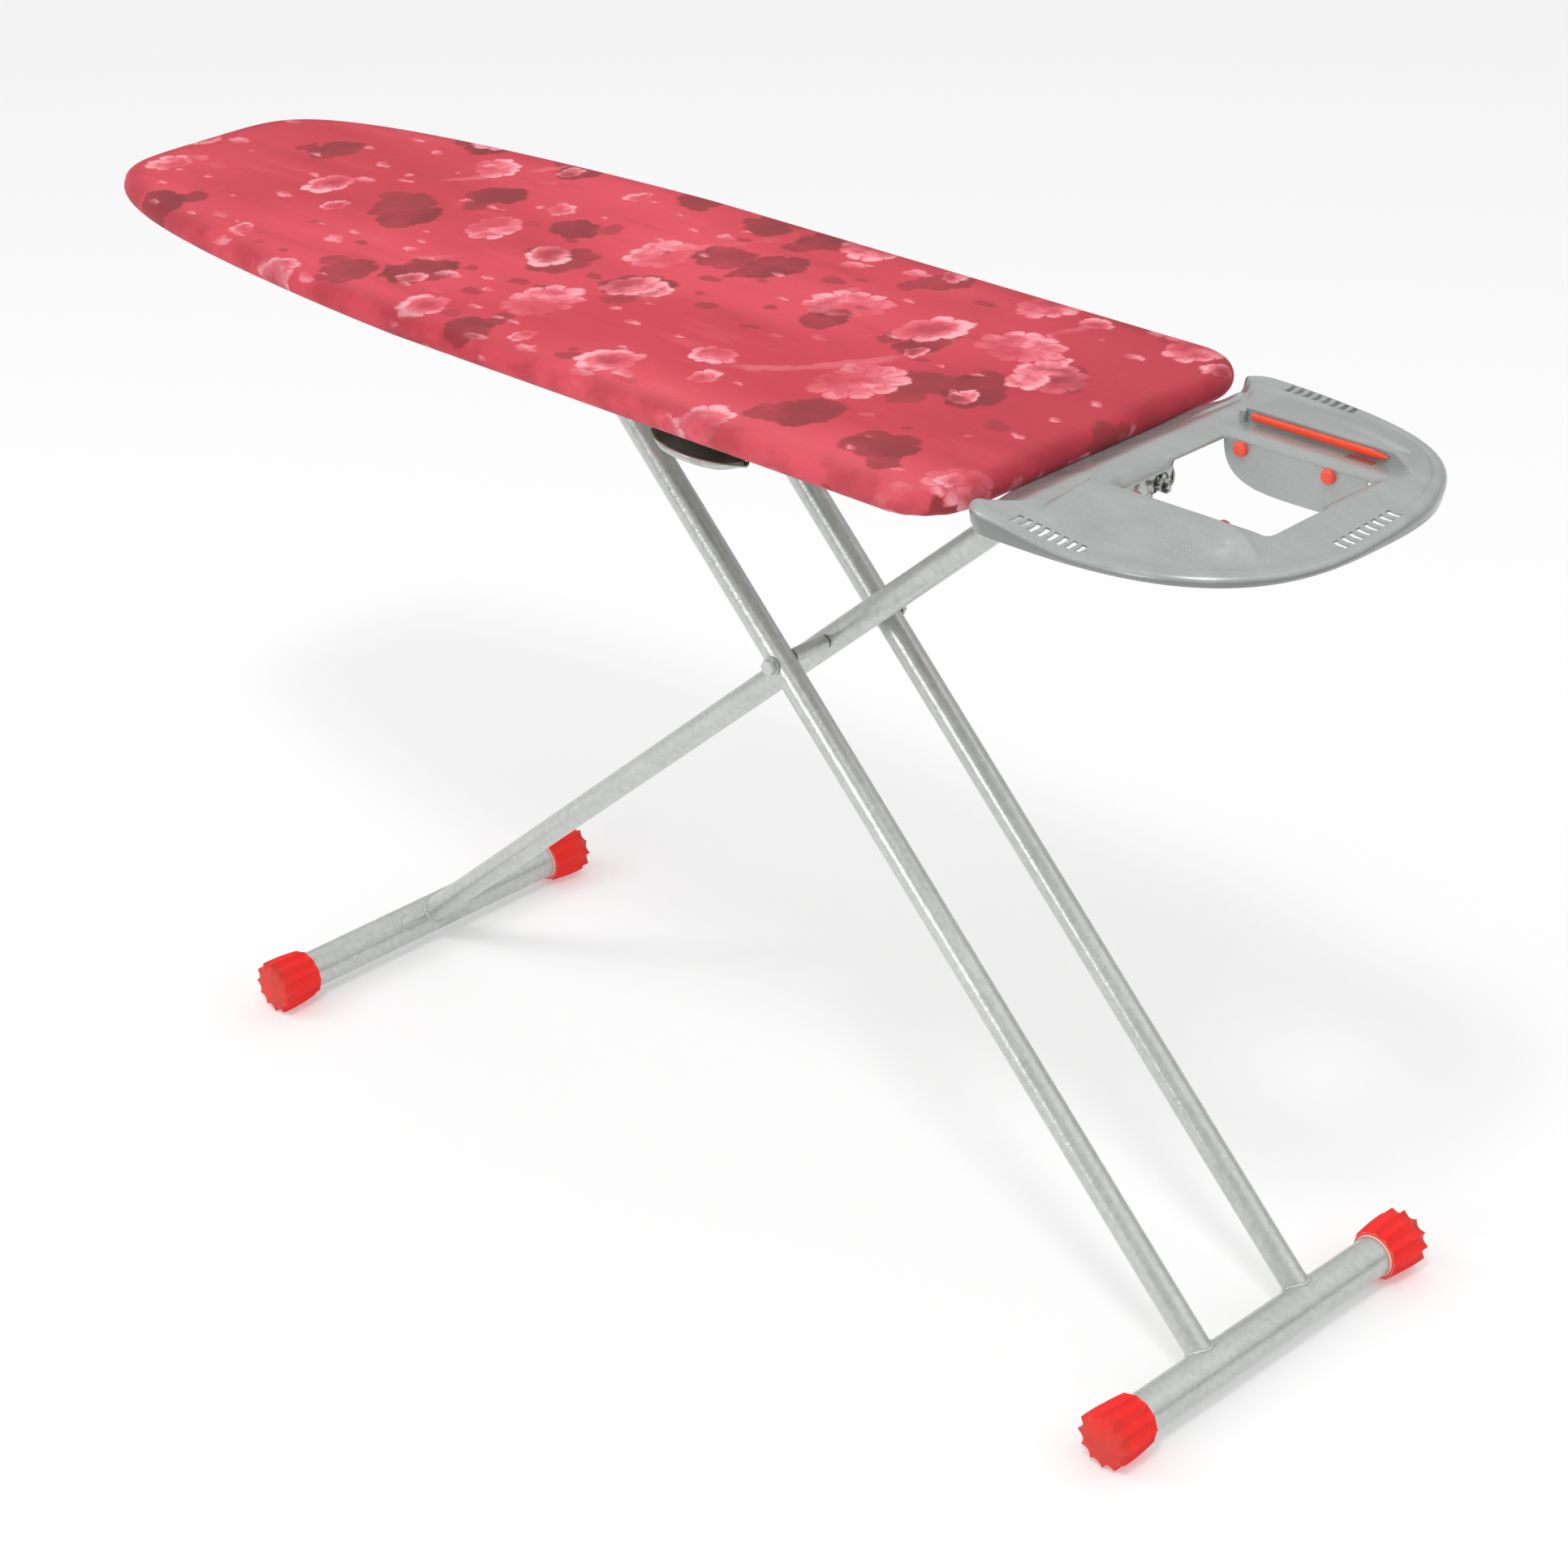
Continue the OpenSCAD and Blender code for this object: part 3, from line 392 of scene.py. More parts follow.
def cotton_cord():
    """Braided cotton cord: a slanting weave of two pale threads."""
    f = Finish("cotton_cord", shown(230, 226, 216), 0.85)
    place = f.object_place()
    braid = f.node("TexWave", {"Vector": place, "Scale": 260.0, "Distortion": 2.0},
                   bands_direction="DIAGONAL").outputs["Fac"]
    f.set("Base Color", f.blend(braid, shown(206, 200, 188), shown(236, 233, 226)))
    f.bump(braid, 0.0004, 0.6)
    return f


def scattered(f, plan, cell, shift, disorder=0.7):
    """One place in each cell of the cloth's plan: the way from it to here, three random
    values that belong to it, and the place itself."""
    moved = f.vector("ADD", plan, (shift, 0.37 * shift, 0))
    inputs = {"Vector": moved, "Scale": 1 / cell, "Randomness": disorder}
    cells = f.node("TexVoronoi", inputs, voronoi_dimensions="2D")
    spot = cells.outputs["Position"]
    chance = f.node("SeparateColor", {0: cells.outputs["Color"]}).outputs
    return f.vector("SUBTRACT", moved, spot), chance, spot


def polar(f, away):
    """Distance and angle of a flat vector."""
    part = f.node("SeparateXYZ", {0: away})
    x, y = part.outputs[0], part.outputs[1]
    square = f.math("MULTIPLY_ADD", x, x, f.math("MULTIPLY", y, y))
    return f.math("SQRT", square), f.math("ARCTAN2", y, x)


def wave(f, angle, times, turn):
    """cos(times * angle + 6.28 * turn)"""
    return f.math("COSINE", f.math("MULTIPLY_ADD", turn, TURN, f.math("MULTIPLY", angle, times)))


def scalloped(f, angle, turn, petals, radius, depth):
    """A blossom's edge: rounded petals that meet in cuts, a little uneven all round.
    radius * (1 - depth + depth * sqrt(|cos(petals * angle / 2)|)) * (1 + 0.13 cos(2 angle))"""
    half_turns = f.math("MULTIPLY", angle, f.math("MULTIPLY", petals, 0.5))
    lobes = f.math("ABSOLUTE", f.math("COSINE", half_turns))
    share = f.math("MULTIPLY_ADD", f.math("SQRT", lobes), depth, 1 - depth)
    uneven = f.math("MULTIPLY_ADD", wave(f, angle, 2, turn), 0.13, 1.0)
    return f.math("MULTIPLY", f.math("MULTIPLY", share, uneven), radius), lobes


def both(f, *shares):
    """The product of several shares."""
    product = shares[0]
    for share in shares[1:]:
        product = f.math("MULTIPLY", product, share)
    return product


def print_dark_blossoms(f, drawn, ground):
    """Dark blossoms in groups: each is a broad bloom with a smaller one beside it, and there
    are smaller dots round about."""
    away, chance, spot = scattered(f, drawn, 0.118, 3.1, 0.8)
    along = f.node("SeparateXYZ", {0: spot}).outputs[0]
    thick = f.ramp(along, 0.15, 0.45, 0.0, 0.07)
    grouped = f.ramp(f.math("ADD", f.noise(spot, 0.34, 1), thick), 0.495, 0.515)
    petals = f.math("ADD", f.math("FLOOR", f.math("MULTIPLY", chance[0], 2.99)), 5.0)
    distance, angle = polar(f, away)
    radius = f.math("MULTIPLY_ADD", chance[1], 0.012, 0.024)
    edge, _ = scalloped(f, angle, chance[2], petals, radius, 0.20)
    bloom = f.ramp(f.math("SUBTRACT", edge, distance), -0.0020, 0.0030)
    turn = f.math("MULTIPLY", chance[2], TURN)
    aside = f.node("CombineXYZ", {0: f.math("MULTIPLY", f.math("COSINE", turn), 0.034),
                                  1: f.math("MULTIPLY", f.math("SINE", turn), 0.034)})
    distance, angle = polar(f, f.vector("SUBTRACT", away, aside.outputs[0]))
    edge, _ = scalloped(f, angle, chance[0], petals, f.math("MULTIPLY", radius, 0.5), 0.18)
    second = f.ramp(f.math("SUBTRACT", edge, distance), -0.0020, 0.0030)
    shape = f.math("MAXIMUM", bloom, f.math("MULTIPLY", second, 0.8))
    dark = f.blend(chance[0], shown(134, 48, 52), shown(154, 56, 62))
    washed = f.ramp(f.noise(drawn, 0.05, 3), 0.30, 0.60, 0.62, 0.96)
    ground = f.blend(both(f, shape, grouped, washed), ground, dark)

    away, chance, spot = scattered(f, drawn, 0.056, 7.7, 1.0)
    near = both(f, f.ramp(f.noise(spot, 0.34, 1), 0.44, 0.48), f.ramp(chance[2], 0.62, 0.64))
    distance, angle = polar(f, f.vector("MULTIPLY", away, (1.0, 1.6, 1)))
    radius = f.math("MULTIPLY_ADD", chance[1], 0.009, 0.006)
    edge, _ = scalloped(f, angle, chance[0], 3.0, radius, 0.12)
    dot = f.ramp(f.math("SUBTRACT", edge, distance), -0.0022, 0.0028)
    return f.blend(both(f, dot, near, 0.7), ground, shown(156, 54, 62))


PINK_FLOWERS = (
    dict(cell=0.170, shift=0.0, rare=0.42, size=0.036, petals=8.0, rim_light=0.30, cup=0.0),
    dict(cell=0.175, shift=5.3, rare=0.46, size=0.029, petals=5.0, rim_light=0.85, cup=0.75),
    dict(cell=0.150, shift=14.1, rare=0.62, size=0.024, petals=6.0, rim_light=0.55, cup=0.0),
    dict(cell=0.100, shift=9.4, rare=0.64, size=0.014, petals=5.0, rim_light=0.50, cup=0.25),
)


def print_pink_flowers(f, drawn, ground, cell, shift, rare, size, petals, rim_light, cup):
    """Pale pink flowers like washes of paint: each is bright on one side and fades into the
    ground on the other. Rim_light is how much its edge shines, and cup how dark its hollow
    heart is."""
    away, chance, _ = scattered(f, drawn, cell, shift)
    there = f.ramp(chance[2], rare, rare + 0.01)
    count = f.math("ADD", f.math("FLOOR", f.math("MULTIPLY", chance[0], 2.99)), petals)
    distance, angle = polar(f, away)
    radius = f.math("MULTIPLY_ADD", chance[1], 0.35 * size, 0.8 * size)
    edge, lobes = scalloped(f, angle, chance[0], count, radius, 0.20)
    reach = f.math("DIVIDE", distance, edge)
    inside = f.ramp(f.math("SUBTRACT", edge, distance), -0.0016, 0.0026)
    lit = f.math("MULTIPLY_ADD", wave(f, angle, 1, chance[1]), 0.40, 0.66)
    wash = f.ramp(f.noise(drawn, 0.020, 3, 0.55), 0.30, 0.68, 0.14, 0.62)
    rim = f.math("MULTIPLY", f.ramp(reach, 0.50, 0.90), rim_light)
    parting = both(f, f.ramp(lobes, 0.35, 0.05), f.ramp(reach, 0.40, 0.80), 0.45)
    tone = both(f, f.math("ADD", wash, rim), lit, f.math("SUBTRACT", 1.0, parting))
    tone = f.math("MINIMUM", tone, 1.0)
    pink = f.blend(f.ramp(tone, 0.35, 0.95), shown(238, 118, 132), shown(250, 176, 184))
    ground = f.blend(both(f, inside, there, f.ramp(tone, -0.05, 0.60)), ground, pink)
    heart = both(f, f.ramp(f.math("ADD", reach, f.math("MULTIPLY", lit, 0.15)), 0.62, 0.34),
                 there, cup)
    return f.blend(heart, ground, shown(184, 62, 76))


def print_buds(f, drawn, ground):
    """Small pale buds and loose petals, thick in some places and thin in others."""
    for cell, shift, size, rare in ((0.066, 11.3, 0.0056, 0.52), (0.046, 17.9, 0.0030, 0.62)):
        away, chance, spot = scattered(f, drawn, cell, shift, 1.0)
        there = both(f, f.ramp(chance[2], rare, rare + 0.02),
                     f.ramp(f.noise(spot, 0.16, 1), 0.42, 0.50))
        distance, angle = polar(f, f.vector("MULTIPLY", away, (0.7, 1.25, 1)))
        radius = f.math("MULTIPLY_ADD", chance[1], 1.1 * size, size)
        edge, _ = scalloped(f, angle, chance[0], 3.0, radius, 0.30)
        bud = f.ramp(f.math("SUBTRACT", edge, distance), -0.0012, 0.0024)
        lit = f.math("MULTIPLY_ADD", wave(f, angle, 1, chance[0]), 0.32, 0.58)
        ground = f.blend(both(f, bud, there, lit), ground, shown(246, 150, 162))
    return ground


def printed_cotton():
    """Rose-red cotton with a printed pattern: soft darker clouds, pale stems, groups of dark
    blossoms, pink flowers of four kinds, and buds. Painted shade darkens it towards the rolled
    edge and the back corner at the tray, and painted light makes it paler along the front
    beside the tray. Plan is the cloth's own flat layout in metres, so the print wraps over the
    edge."""
    f = Finish("printed_cotton", shown(212, 86, 98), 0.85)
    f.set("Sheen Weight", 0.06)
    f.set("Sheen Roughness", 0.5)
    f.set("Specular IOR Level", 0.22)
    plan = f.node("UVMap", uv_map="plan").outputs[0]
    rim = f.node("SeparateXYZ", {0: f.node("UVMap", uv_map="rim").outputs[0]}).outputs[0]
    wobble = f.node("TexNoise", {"Vector": plan, "Scale": 60.0, "Detail": 3.0}).outputs["Color"]
    drift = f.vector("SUBTRACT", wobble, (0.5, 0.5, 0.5))
    drawn = f.vector("ADD", plan, f.vector("MULTIPLY", drift, (0.016, 0.013, 0)))

    cloud = f.noise(f.scaled(plan, (0.7, 1.5, 1), (0, 0, -0.35)), 0.34, 2, 0.5)
    streak = f.noise(f.scaled(plan, (0.6, 3.4, 1), (0, 0, -0.42)), 0.13, 3, 0.55)
    ground = f.blend(f.ramp(cloud, 0.32, 0.66), shown(226, 80, 96), shown(202, 62, 76))
    ground = f.blend(f.ramp(streak, 0.50, 0.74, 0.0, 0.45), ground, shown(176, 54, 66))
    ground = f.blend(f.ramp(streak, 0.44, 0.26, 0.0, 0.35), ground, shown(236, 102, 114))
    part = f.node("SeparateXYZ", {0: plan}).outputs
    # Painted shade: the ground darkens towards the back corner at the tray.
    slant = f.math("ADD", part[0], f.math("MULTIPLY", part[1], 0.9))
    ground = f.blend(f.ramp(slant, 0.0, 0.60, 0.0, 0.66), ground, shown(172, 48, 61))
    # Painted light: the front side beside the tray is made paler.
    painted_front_light = both(f, f.ramp(part[1], -0.11, -0.20), f.ramp(part[0], -0.15, 0.20), 0.45)
    ground = f.blend(painted_front_light, ground, shown(244, 108, 120))

    stem_plan = f.scaled(drawn, (1, 1, 1), (0, 0, 0.62))
    line = f.node("TexWave", {"Vector": stem_plan, "Scale": 1.1, "Distortion": 4.0,
                              "Detail": 2.0, "Detail Scale": 1.4}).outputs["Fac"]
    part = f.ramp(f.noise(plan, 0.12, 2), 0.50, 0.62)
    ground = f.blend(both(f, f.ramp(line, 0.991, 0.9996), part, 0.40), ground,
                     shown(240, 136, 146))
    ground = print_dark_blossoms(f, drawn, ground)
    for kind in PINK_FLOWERS:
        ground = print_pink_flowers(f, drawn, ground, **kind)
    ground = print_buds(f, drawn, ground)

    # Painted shade: the rolled edge is darkened in patches.
    patch = f.ramp(f.noise(plan, 0.07, 3, 0.6), 0.40, 0.62, 0.30, 1.0)
    edge = f.ramp(rim, -0.018, 0.010)
    ground = f.blend(both(f, edge, patch, 0.55), ground, shown(140, 40, 50))
    thread = f.noise(f.scaled(plan, (1, 0.12, 1)), 0.0016, 2)
    cross = f.noise(f.scaled(plan, (0.12, 1, 1)), 0.0016, 2)
    weave = f.math("ADD", thread, cross)
    f.set("Base Color", f.blend(f.ramp(weave, 0.6, 1.4, 0.0, 0.12), ground, shown(140, 44, 54)))
    f.bump(weave, 0.0004, 0.35)
    return f


FINISHES = {
    "cover_cloth": printed_cotton(),
    "draw_cord": cotton_cord(),
    "foam": open_foam(),
    "frame_paint": frame_paint(),
    "zinc_steel": zinc_plate("zinc_steel", shown(186, 189, 187)),
    "hardware_steel": turned_steel("hardware_steel", shown(190, 192, 190), 0.38),
    "spring_steel": turned_steel("spring_steel", shown(128, 129, 132), 0.25),
    "tray_plastic": tray_plastic(),
    "strip_silicone": silicone("strip_silicone", shown(252, 66, 34), shown(255, 88, 46)),
    "bumper_silicone": silicone("bumper_silicone", shown(236, 74, 54), shown(246, 96, 70)),
    "leg_paint": tube_paint(),
    "lever_steel": pressed_steel(),
    "nylon": dark_nylon(),
    "cap_plastic": cap_plastic(),
}


PAINTED_OVER = ("pivot_bolt", "pivot_nut", "pivot_spacers", "pivot_washers")


def finish_cad_nodes():
    """Every CAD node takes the finish of each material slot that the record gives it. The
    fasteners of the legs' pivot are painted over with the legs."""
    for name, node in frame["nodes"].items():
        for holder in node.material_slots:
            slot = holder.material.name.split(".")[0]
            slot = "leg_paint" if name in PAINTED_OVER else slot
            holder.material = FINISHES[slot].material


finish_cad_nodes()


# ---------------------------------------------------------------- meshes from arrays

MERGE = 1e-6


def mesh_from(name, points, faces):
    """An object made of points (n, 3) and quads (m, 4)."""
    mesh = bpy.data.meshes.new(name)
    mesh.vertices.add(len(points))
    mesh.vertices.foreach_set("co", np.asarray(points, np.float32).ravel())
    mesh.loops.add(faces.size)
    mesh.loops.foreach_set("vertex_index", faces.astype(np.int32).ravel())
    mesh.polygons.add(len(faces))
    mesh.polygons.foreach_set("loop_start", np.arange(0, faces.size, 4, dtype=np.int32))
    mesh.update(calc_edges=True)
    mesh.shade_smooth()
    piece = bpy.data.objects.new(name, mesh)
    bpy.context.scene.collection.objects.link(piece)
    return piece


def grid_faces(rows, columns, wrap_rows=False, wrap_columns=False):
    """Quads of a grid of rows * columns points, which may close on itself either way."""
    i = np.arange(rows if wrap_rows else rows - 1)[:, None]
    j = np.arange(columns if wrap_columns else columns - 1)[None, :]
    k, m = (i + 1) % rows, (j + 1) % columns
    quads = [i * columns + j, k * columns + j, k * columns + m, i * columns + m]
    return np.stack([q.ravel() for q in np.broadcast_arrays(*quads)], 1)


def surface(name, points, wrap_rows=False, wrap_columns=False, smooth_angle=40):
    """A closed shell from a grid of points (rows, columns, 3): points that fall together
    become one, and all faces are then turned outwards."""
    rows, columns = points.shape[:2]
    faces = grid_faces(rows, columns, wrap_rows, wrap_columns)
    return closed_shell(mesh_from(name, points.reshape(-1, 3), faces), smooth_angle)


def merged(piece, outwards):
    """Merges doubles and drops faces of no area, and can turn the faces outwards."""
    shell = bmesh.new()
    shell.from_mesh(piece.data)
    bmesh.ops.remove_doubles(shell, verts=shell.verts, dist=MERGE)
    bmesh.ops.dissolve_degenerate(shell, edges=shell.edges, dist=MERGE / 10)
    if outwards:
        bmesh.ops.recalc_face_normals(shell, faces=shell.faces)
    shell.to_mesh(piece.data)
    shell.free()
    piece.data.shade_smooth()


def closed_shell(piece, smooth_angle):
    """A merged shell that faces outwards, with sharp edges beyond smooth_angle degrees."""
    merged(piece, True)
    piece.data.set_sharp_from_angle(angle=math.radians(smooth_angle))
    return piece


def joined(name, pieces):
    """Several shells kept as one piece."""
    with bpy.context.temp_override(active_object=pieces[0], object=pieces[0],
                                   selected_objects=pieces,
                                   selected_editable_objects=pieces):
        bpy.ops.object.join()
    return named(pieces[0], name)


def dress(piece, body, slot, *nodes, finish=None):
    """The piece takes the slot's finish, or one of its own, rides on the body and stands
    for the nodes."""
    piece.data.materials.clear()
    piece.data.materials.append((finish or FINISHES[slot]).material)
    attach(piece, body)
    if nodes:
        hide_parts(*nodes)
    return piece


def closed_line(points, count):
    """`count` points spaced evenly along the closed line through the given points."""
    loop = np.vstack([points, points[:1]])
    steps = np.linalg.norm(np.diff(loop, axis=0), axis=1)
    run = np.concatenate([[0], np.cumsum(steps)])
    at = np.linspace(0, run[-1], count, endpoint=False)
    return np.stack([np.interp(at, run, loop[:, k]) for k in range(2)], 1)


def outward(line):
    """Unit normals of a closed line that runs counterclockwise."""
    along = np.roll(line, -1, 0) - np.roll(line, 1, 0)
    along /= np.linalg.norm(along, axis=1, keepdims=True)
    return np.stack([along[:, 1], -along[:, 0]], 1)


def smooth_step(value, low, high):
    """0 below low, 1 above high, and 3t^2 - 2t^3 between."""
    t = np.clip((value - low) / (high - low), 0, 1)
    return t * t * (3 - 2 * t)


def plateau(value, rise_from, rise_to, fall_from, fall_to):
    """1 between rise_to and fall_from, and a smooth step down to 0 on both sides."""
    return smooth_step(value, rise_from, rise_to) * (1 - smooth_step(value, fall_from, fall_to))


def bell(value, centre, width):
    """exp(-((value - centre) / width)^2)"""
    return np.exp(-(((value - centre) / width) ** 2))


def lathed(name, profile, centre, axis, count=48):
    """A profile of (radius, distance along the axis) turned once round the axis."""
    axis = np.asarray(axis, float)
    side = np.cross(axis, (0, 0, 1.0) if abs(axis[2]) < 0.9 else (1.0, 0, 0))
    side /= np.linalg.norm(side)
    other = np.cross(axis, side)
    angle = np.linspace(0, TURN, count, endpoint=False)
    ring = np.cos(angle)[:, None] * side + np.sin(angle)[:, None] * other
    radius, along = np.asarray(profile).T
    points = (np.asarray(centre) + ring[:, None, :] * radius[None, :, None]
              + axis * along[None, :, None])
    return surface(name, points, True, False)


def tube(name, path, radial, size, sides, closed):
    """A round tube with the given radii along a path; radial is a direction across it."""
    if closed:
        along = np.roll(path, -1, 0) - np.roll(path, 1, 0)
    else:
        along = np.gradient(path, axis=0)
    along /= np.linalg.norm(along, axis=1, keepdims=True)
    third = np.cross(along, radial)
    b = np.linspace(0, TURN, sides, endpoint=False)
    ring = np.cos(b)[None, :, None] * radial[:, None] + np.sin(b)[None, :, None] * third[:, None]
    return surface(name, path[:, None] + size[:, None, None] * ring, closed, True, 60)


def close_shell(piece):
    """Fills the open ends of a shell and turns its faces outwards."""
    shell = bmesh.new()
    shell.from_mesh(piece.data)
    rim = [e for e in shell.edges if e.is_boundary]
    bmesh.ops.holes_fill(shell, edges=rim, sides=0)
    bmesh.ops.recalc_face_normals(shell, faces=shell.faces)
    shell.to_mesh(piece.data)
    shell.free()


def named(piece, name):
    """The piece under its own name."""
    piece.name = piece.data.name = name
    return piece


def add_map(piece, name, values, faces):
    """A UV map from one pair of values per point."""
    corners = values.reshape(-1, 2)[faces.ravel()]
    made = piece.data.uv_layers.new(name=name)
    made.uv.foreach_set("vector", corners.astype(np.float32).ravel())


def middle(node):
    """The middle of a CAD node's box."""
    low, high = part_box(node)
    return (np.array(low) + np.array(high)) / 2


def tube_radius(node):
    """The radius of a CAD tube that lies flat."""
    low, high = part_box(node)
    return (high.z - low.z) / 2


# ---------------------------------------------------------------- the board's outline

board_low, board_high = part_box("cover")
NOSE_LENGTH = 550 * MM
NOSE_BLUNT = 4.8
NOSE_TAPER = 1.25
END_CORNER = 58 * MM
EDGE_RADIUS = (board_high.z - board_low.z) / 2
EDGE_Z = board_low.z + EDGE_RADIUS
HALF_BOARD = board_high.y


def board_outline(count):
    """The board seen from above, counterclockwise from the tip of the nose.
    The nose is half_width = W * (1 - (1 - s)^taper)^(1 / blunt) with s = q^blunt along it,
    and the far end has straight sides and two round corners."""
    q = np.linspace(0, 1, 160)
    s = q ** NOSE_BLUNT
    nose = np.stack([board_low.x + NOSE_LENGTH * s,
                     HALF_BOARD * (1 - (1 - s) ** NOSE_TAPER) ** (1 / NOSE_BLUNT)], 1)
    a = np.linspace(math.pi / 2, 0, 40)
    corner = np.stack([board_high.x - END_CORNER + END_CORNER * np.cos(a),
                       HALF_BOARD - END_CORNER + END_CORNER * np.sin(a)], 1)
    side = np.vstack([nose, corner])
    return closed_line(np.vstack([side * (1, -1), side[:0:-1]]), count)


def layers_of(line, rings, spine_margin, top_rings):
    """Points of a sheet over the board's outline. Rings are (inset, height) from the
    underside round the edge. From the last ring the sheet runs flat to a spine on the
    board's middle line: point = ring + t * (spine - ring)."""
    normal = outward(line)
    inset, height = np.asarray(rings).T
    flat = line[None] - normal[None] * inset[:, None, None]
    tall = np.broadcast_to(height[:, None, None], flat.shape[:2] + (1,))
    wrapped = np.concatenate([flat, tall], 2)
    last = wrapped[-1]
    spine = np.stack([np.clip(last[:, 0], line[:, 0].min() + spine_margin,
                              line[:, 0].max() - spine_margin),
                      np.zeros(len(line)), last[:, 2]], 1)
    t = (np.linspace(0, 1, top_rings + 1)[1:] ** 1.35)[:, None, None]
    return np.concatenate([wrapped, last[None] * (1 - t) + spine[None] * t])


# ---------------------------------------------------------------- the cloth cover

COVER_COUNT = 720
CLOTH = 1.1 * MM
HEM = 26 * MM
TOP_RINGS = 18
EDGE_STEPS = 12
HEM_STEPS = 7
GATHERS = 145
GATHER_DEPTH = 2.6 * MM
GATHER_SHIFT = 0.5 * MM
COVER_SPINE = 95 * MM
FOAM_SPINE = 110 * MM
FOAM_CROWN = 0.15 * MM


def gather_strength(line):
    """How much spare cloth the hem has to take in: the outline's curvature, smoothed, as a
    share of that of the tightest corner, with a little left on the straight sides."""
    along = np.roll(line, -1, 0) - line
    angle = np.unwrap(np.arctan2(along[:, 1], along[:, 0]))
    turn = np.abs(np.roll(angle, -1) - angle)
    turn = np.minimum(turn, TURN - turn if turn.max() > 3 else turn)
    window = np.hanning(31)
    padded = np.concatenate([turn[-15:], turn, turn[:15]])
    smooth = np.convolve(padded, window / window.sum(), "valid")
    return 0.12 + 0.88 * np.clip(smooth / np.percentile(smooth, 97), 0, 1)


def cover_rings():
    """(inset, height, distance round the edge) from the hem to the top of the edge."""
    under = np.linspace(EDGE_RADIUS + HEM, EDGE_RADIUS, HEM_STEPS + 1)[:-1]
    a = np.linspace(-math.pi / 2, math.pi / 2, EDGE_STEPS + 1)
    inset = np.concatenate([under, EDGE_RADIUS * (1 - np.cos(a))])
    height = np.concatenate([np.full(HEM_STEPS, board_low.z), EDGE_Z + EDGE_RADIUS * np.sin(a)])
    reach = np.concatenate([math.pi * EDGE_RADIUS + under - EDGE_RADIUS,
                            EDGE_RADIUS * (math.pi / 2 - a)])
    return inset, height, reach


def make_cover():
    """The cloth cover: one sheet over the top, round the edge and under as a gathered hem,
    and the line that it is cut along when it lies flat."""
    line = board_outline(COVER_COUNT)
    inset, height, reach = cover_rings()
    points = layers_of(line, np.stack([inset, height], 1), COVER_SPINE, TOP_RINGS)
    rings, count = points.shape[:2]

    q = np.arange(count) / count
    wave = np.sin(GATHERS * TURN * q + 1.4 * np.sin(19 * TURN * q))
    wave += 0.35 * np.sin(61 * TURN * q + 2.0)
    strength = gather_strength(line)
    far = smooth_step(reach, math.pi * EDGE_RADIUS * 0.62, math.pi * EDGE_RADIUS + HEM * 0.8)
    fold = far[:, None] * (strength * (0.6 + 0.5 * wave))[None]
    points[:len(reach), :, 2] -= GATHER_DEPTH * np.clip(fold, 0, None)
    shift = GATHER_SHIFT * far[:, None] * wave[None]
    points[:len(reach), :, :2] -= shift[..., None] * outward(line)[None]

    plan_reach = np.concatenate([reach, np.zeros(rings - len(reach))])
    plan = points[..., :2].copy()
    plan[:len(reach)] = (points[len(reach) - 1, :, :2][None]
                         + outward(line)[None] * plan_reach[:len(reach), None, None])
    faces = grid_faces(rings, count, False, True)[:, ::-1]
    cover = mesh_from("printed_cover", points.reshape(-1, 3), faces)
    add_map(cover, "plan", plan, faces)
    inward = np.linalg.norm(points[..., :2] - points[len(reach) - 1, :, :2][None], axis=2)
    inward[:len(reach)] = -reach[:, None]
    rim_way = np.stack([-inward, np.broadcast_to(q[None], inward.shape)], 2)
    add_map(cover, "rim", rim_way, faces)
    merged(cover, False)
    return cover, plan[0]


cover, cover_cut = make_cover()
thickness = cover.modifiers.new("thickness", "SOLIDIFY")
thickness.thickness = CLOTH
thickness.offset = -1
dress(cover, "board", "cover_cloth", "cover")


def make_foam():
    """The foam under the cover: a slab with rounded edges and a slightly crowned top."""
    low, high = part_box("foam_pad")
    radius = (high.z - low.z) / 2
    line = board_outline(240)
    a = np.linspace(-math.pi / 2, math.pi / 2, 7)
    margin = low.x - board_low.x
    rings = np.stack([margin + radius * (1 - np.cos(a)), low.z + radius + radius * np.sin(a)], 1)
    top = layers_of(line, rings, FOAM_SPINE, 8)
    under = layers_of(line, rings[:1], FOAM_SPINE, 8)[1:][::-1]
    crown = np.clip(np.arange(len(top)) - len(rings) + 1, 0, 3) / 3
    top[..., 2] += FOAM_CROWN * crown[:, None]
    return surface("foam_underlay", np.concatenate([under, top]), False, True)


foam = dress(make_foam(), "board", "foam", "foam_pad")


# ---------------------------------------------------------------- the iron tray

tray_low, tray_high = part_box("iron_tray")
strip_low, strip_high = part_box("silicone_strip_back")
button_low, button_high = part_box("bumper_buttons_back")
TRAY_SQUARE = 2.8
HALF_TRAY = tray_high.y + 2 * MM
TRAY_END = tray_high.x + 3 * MM
TRAY_ROUND = 237 * MM
BOARD_END = board_high.x
NEAR_X = BOARD_END - 4 * MM
CORNER_X = BOARD_END + 3.5 * MM
NEAR_ROUND = 30 * MM
DECK_Z = strip_low.z - 0.2 * MM
RIM_FOOT = DECK_Z - 22 * MM
CREST_Z = tray_high.z - 1 * MM
RIDGE_Y = strip_high.y + 0.05 * MM
OPENING_X = (strip_low.x, strip_low.x + 150 * MM)
OPENING_Y = 65 * MM
SHELF = 12 * MM
VENT_X = board_high.x + 55 * MM
VENT_PITCH = 9.2 * MM
VENT_WIDTH = 5.2 * MM
VENT_LENGTH = 13 * MM
VENT_EDGE = 7.2 * MM
VENTS = 8
RIM_ROUND = 6.5 * MM
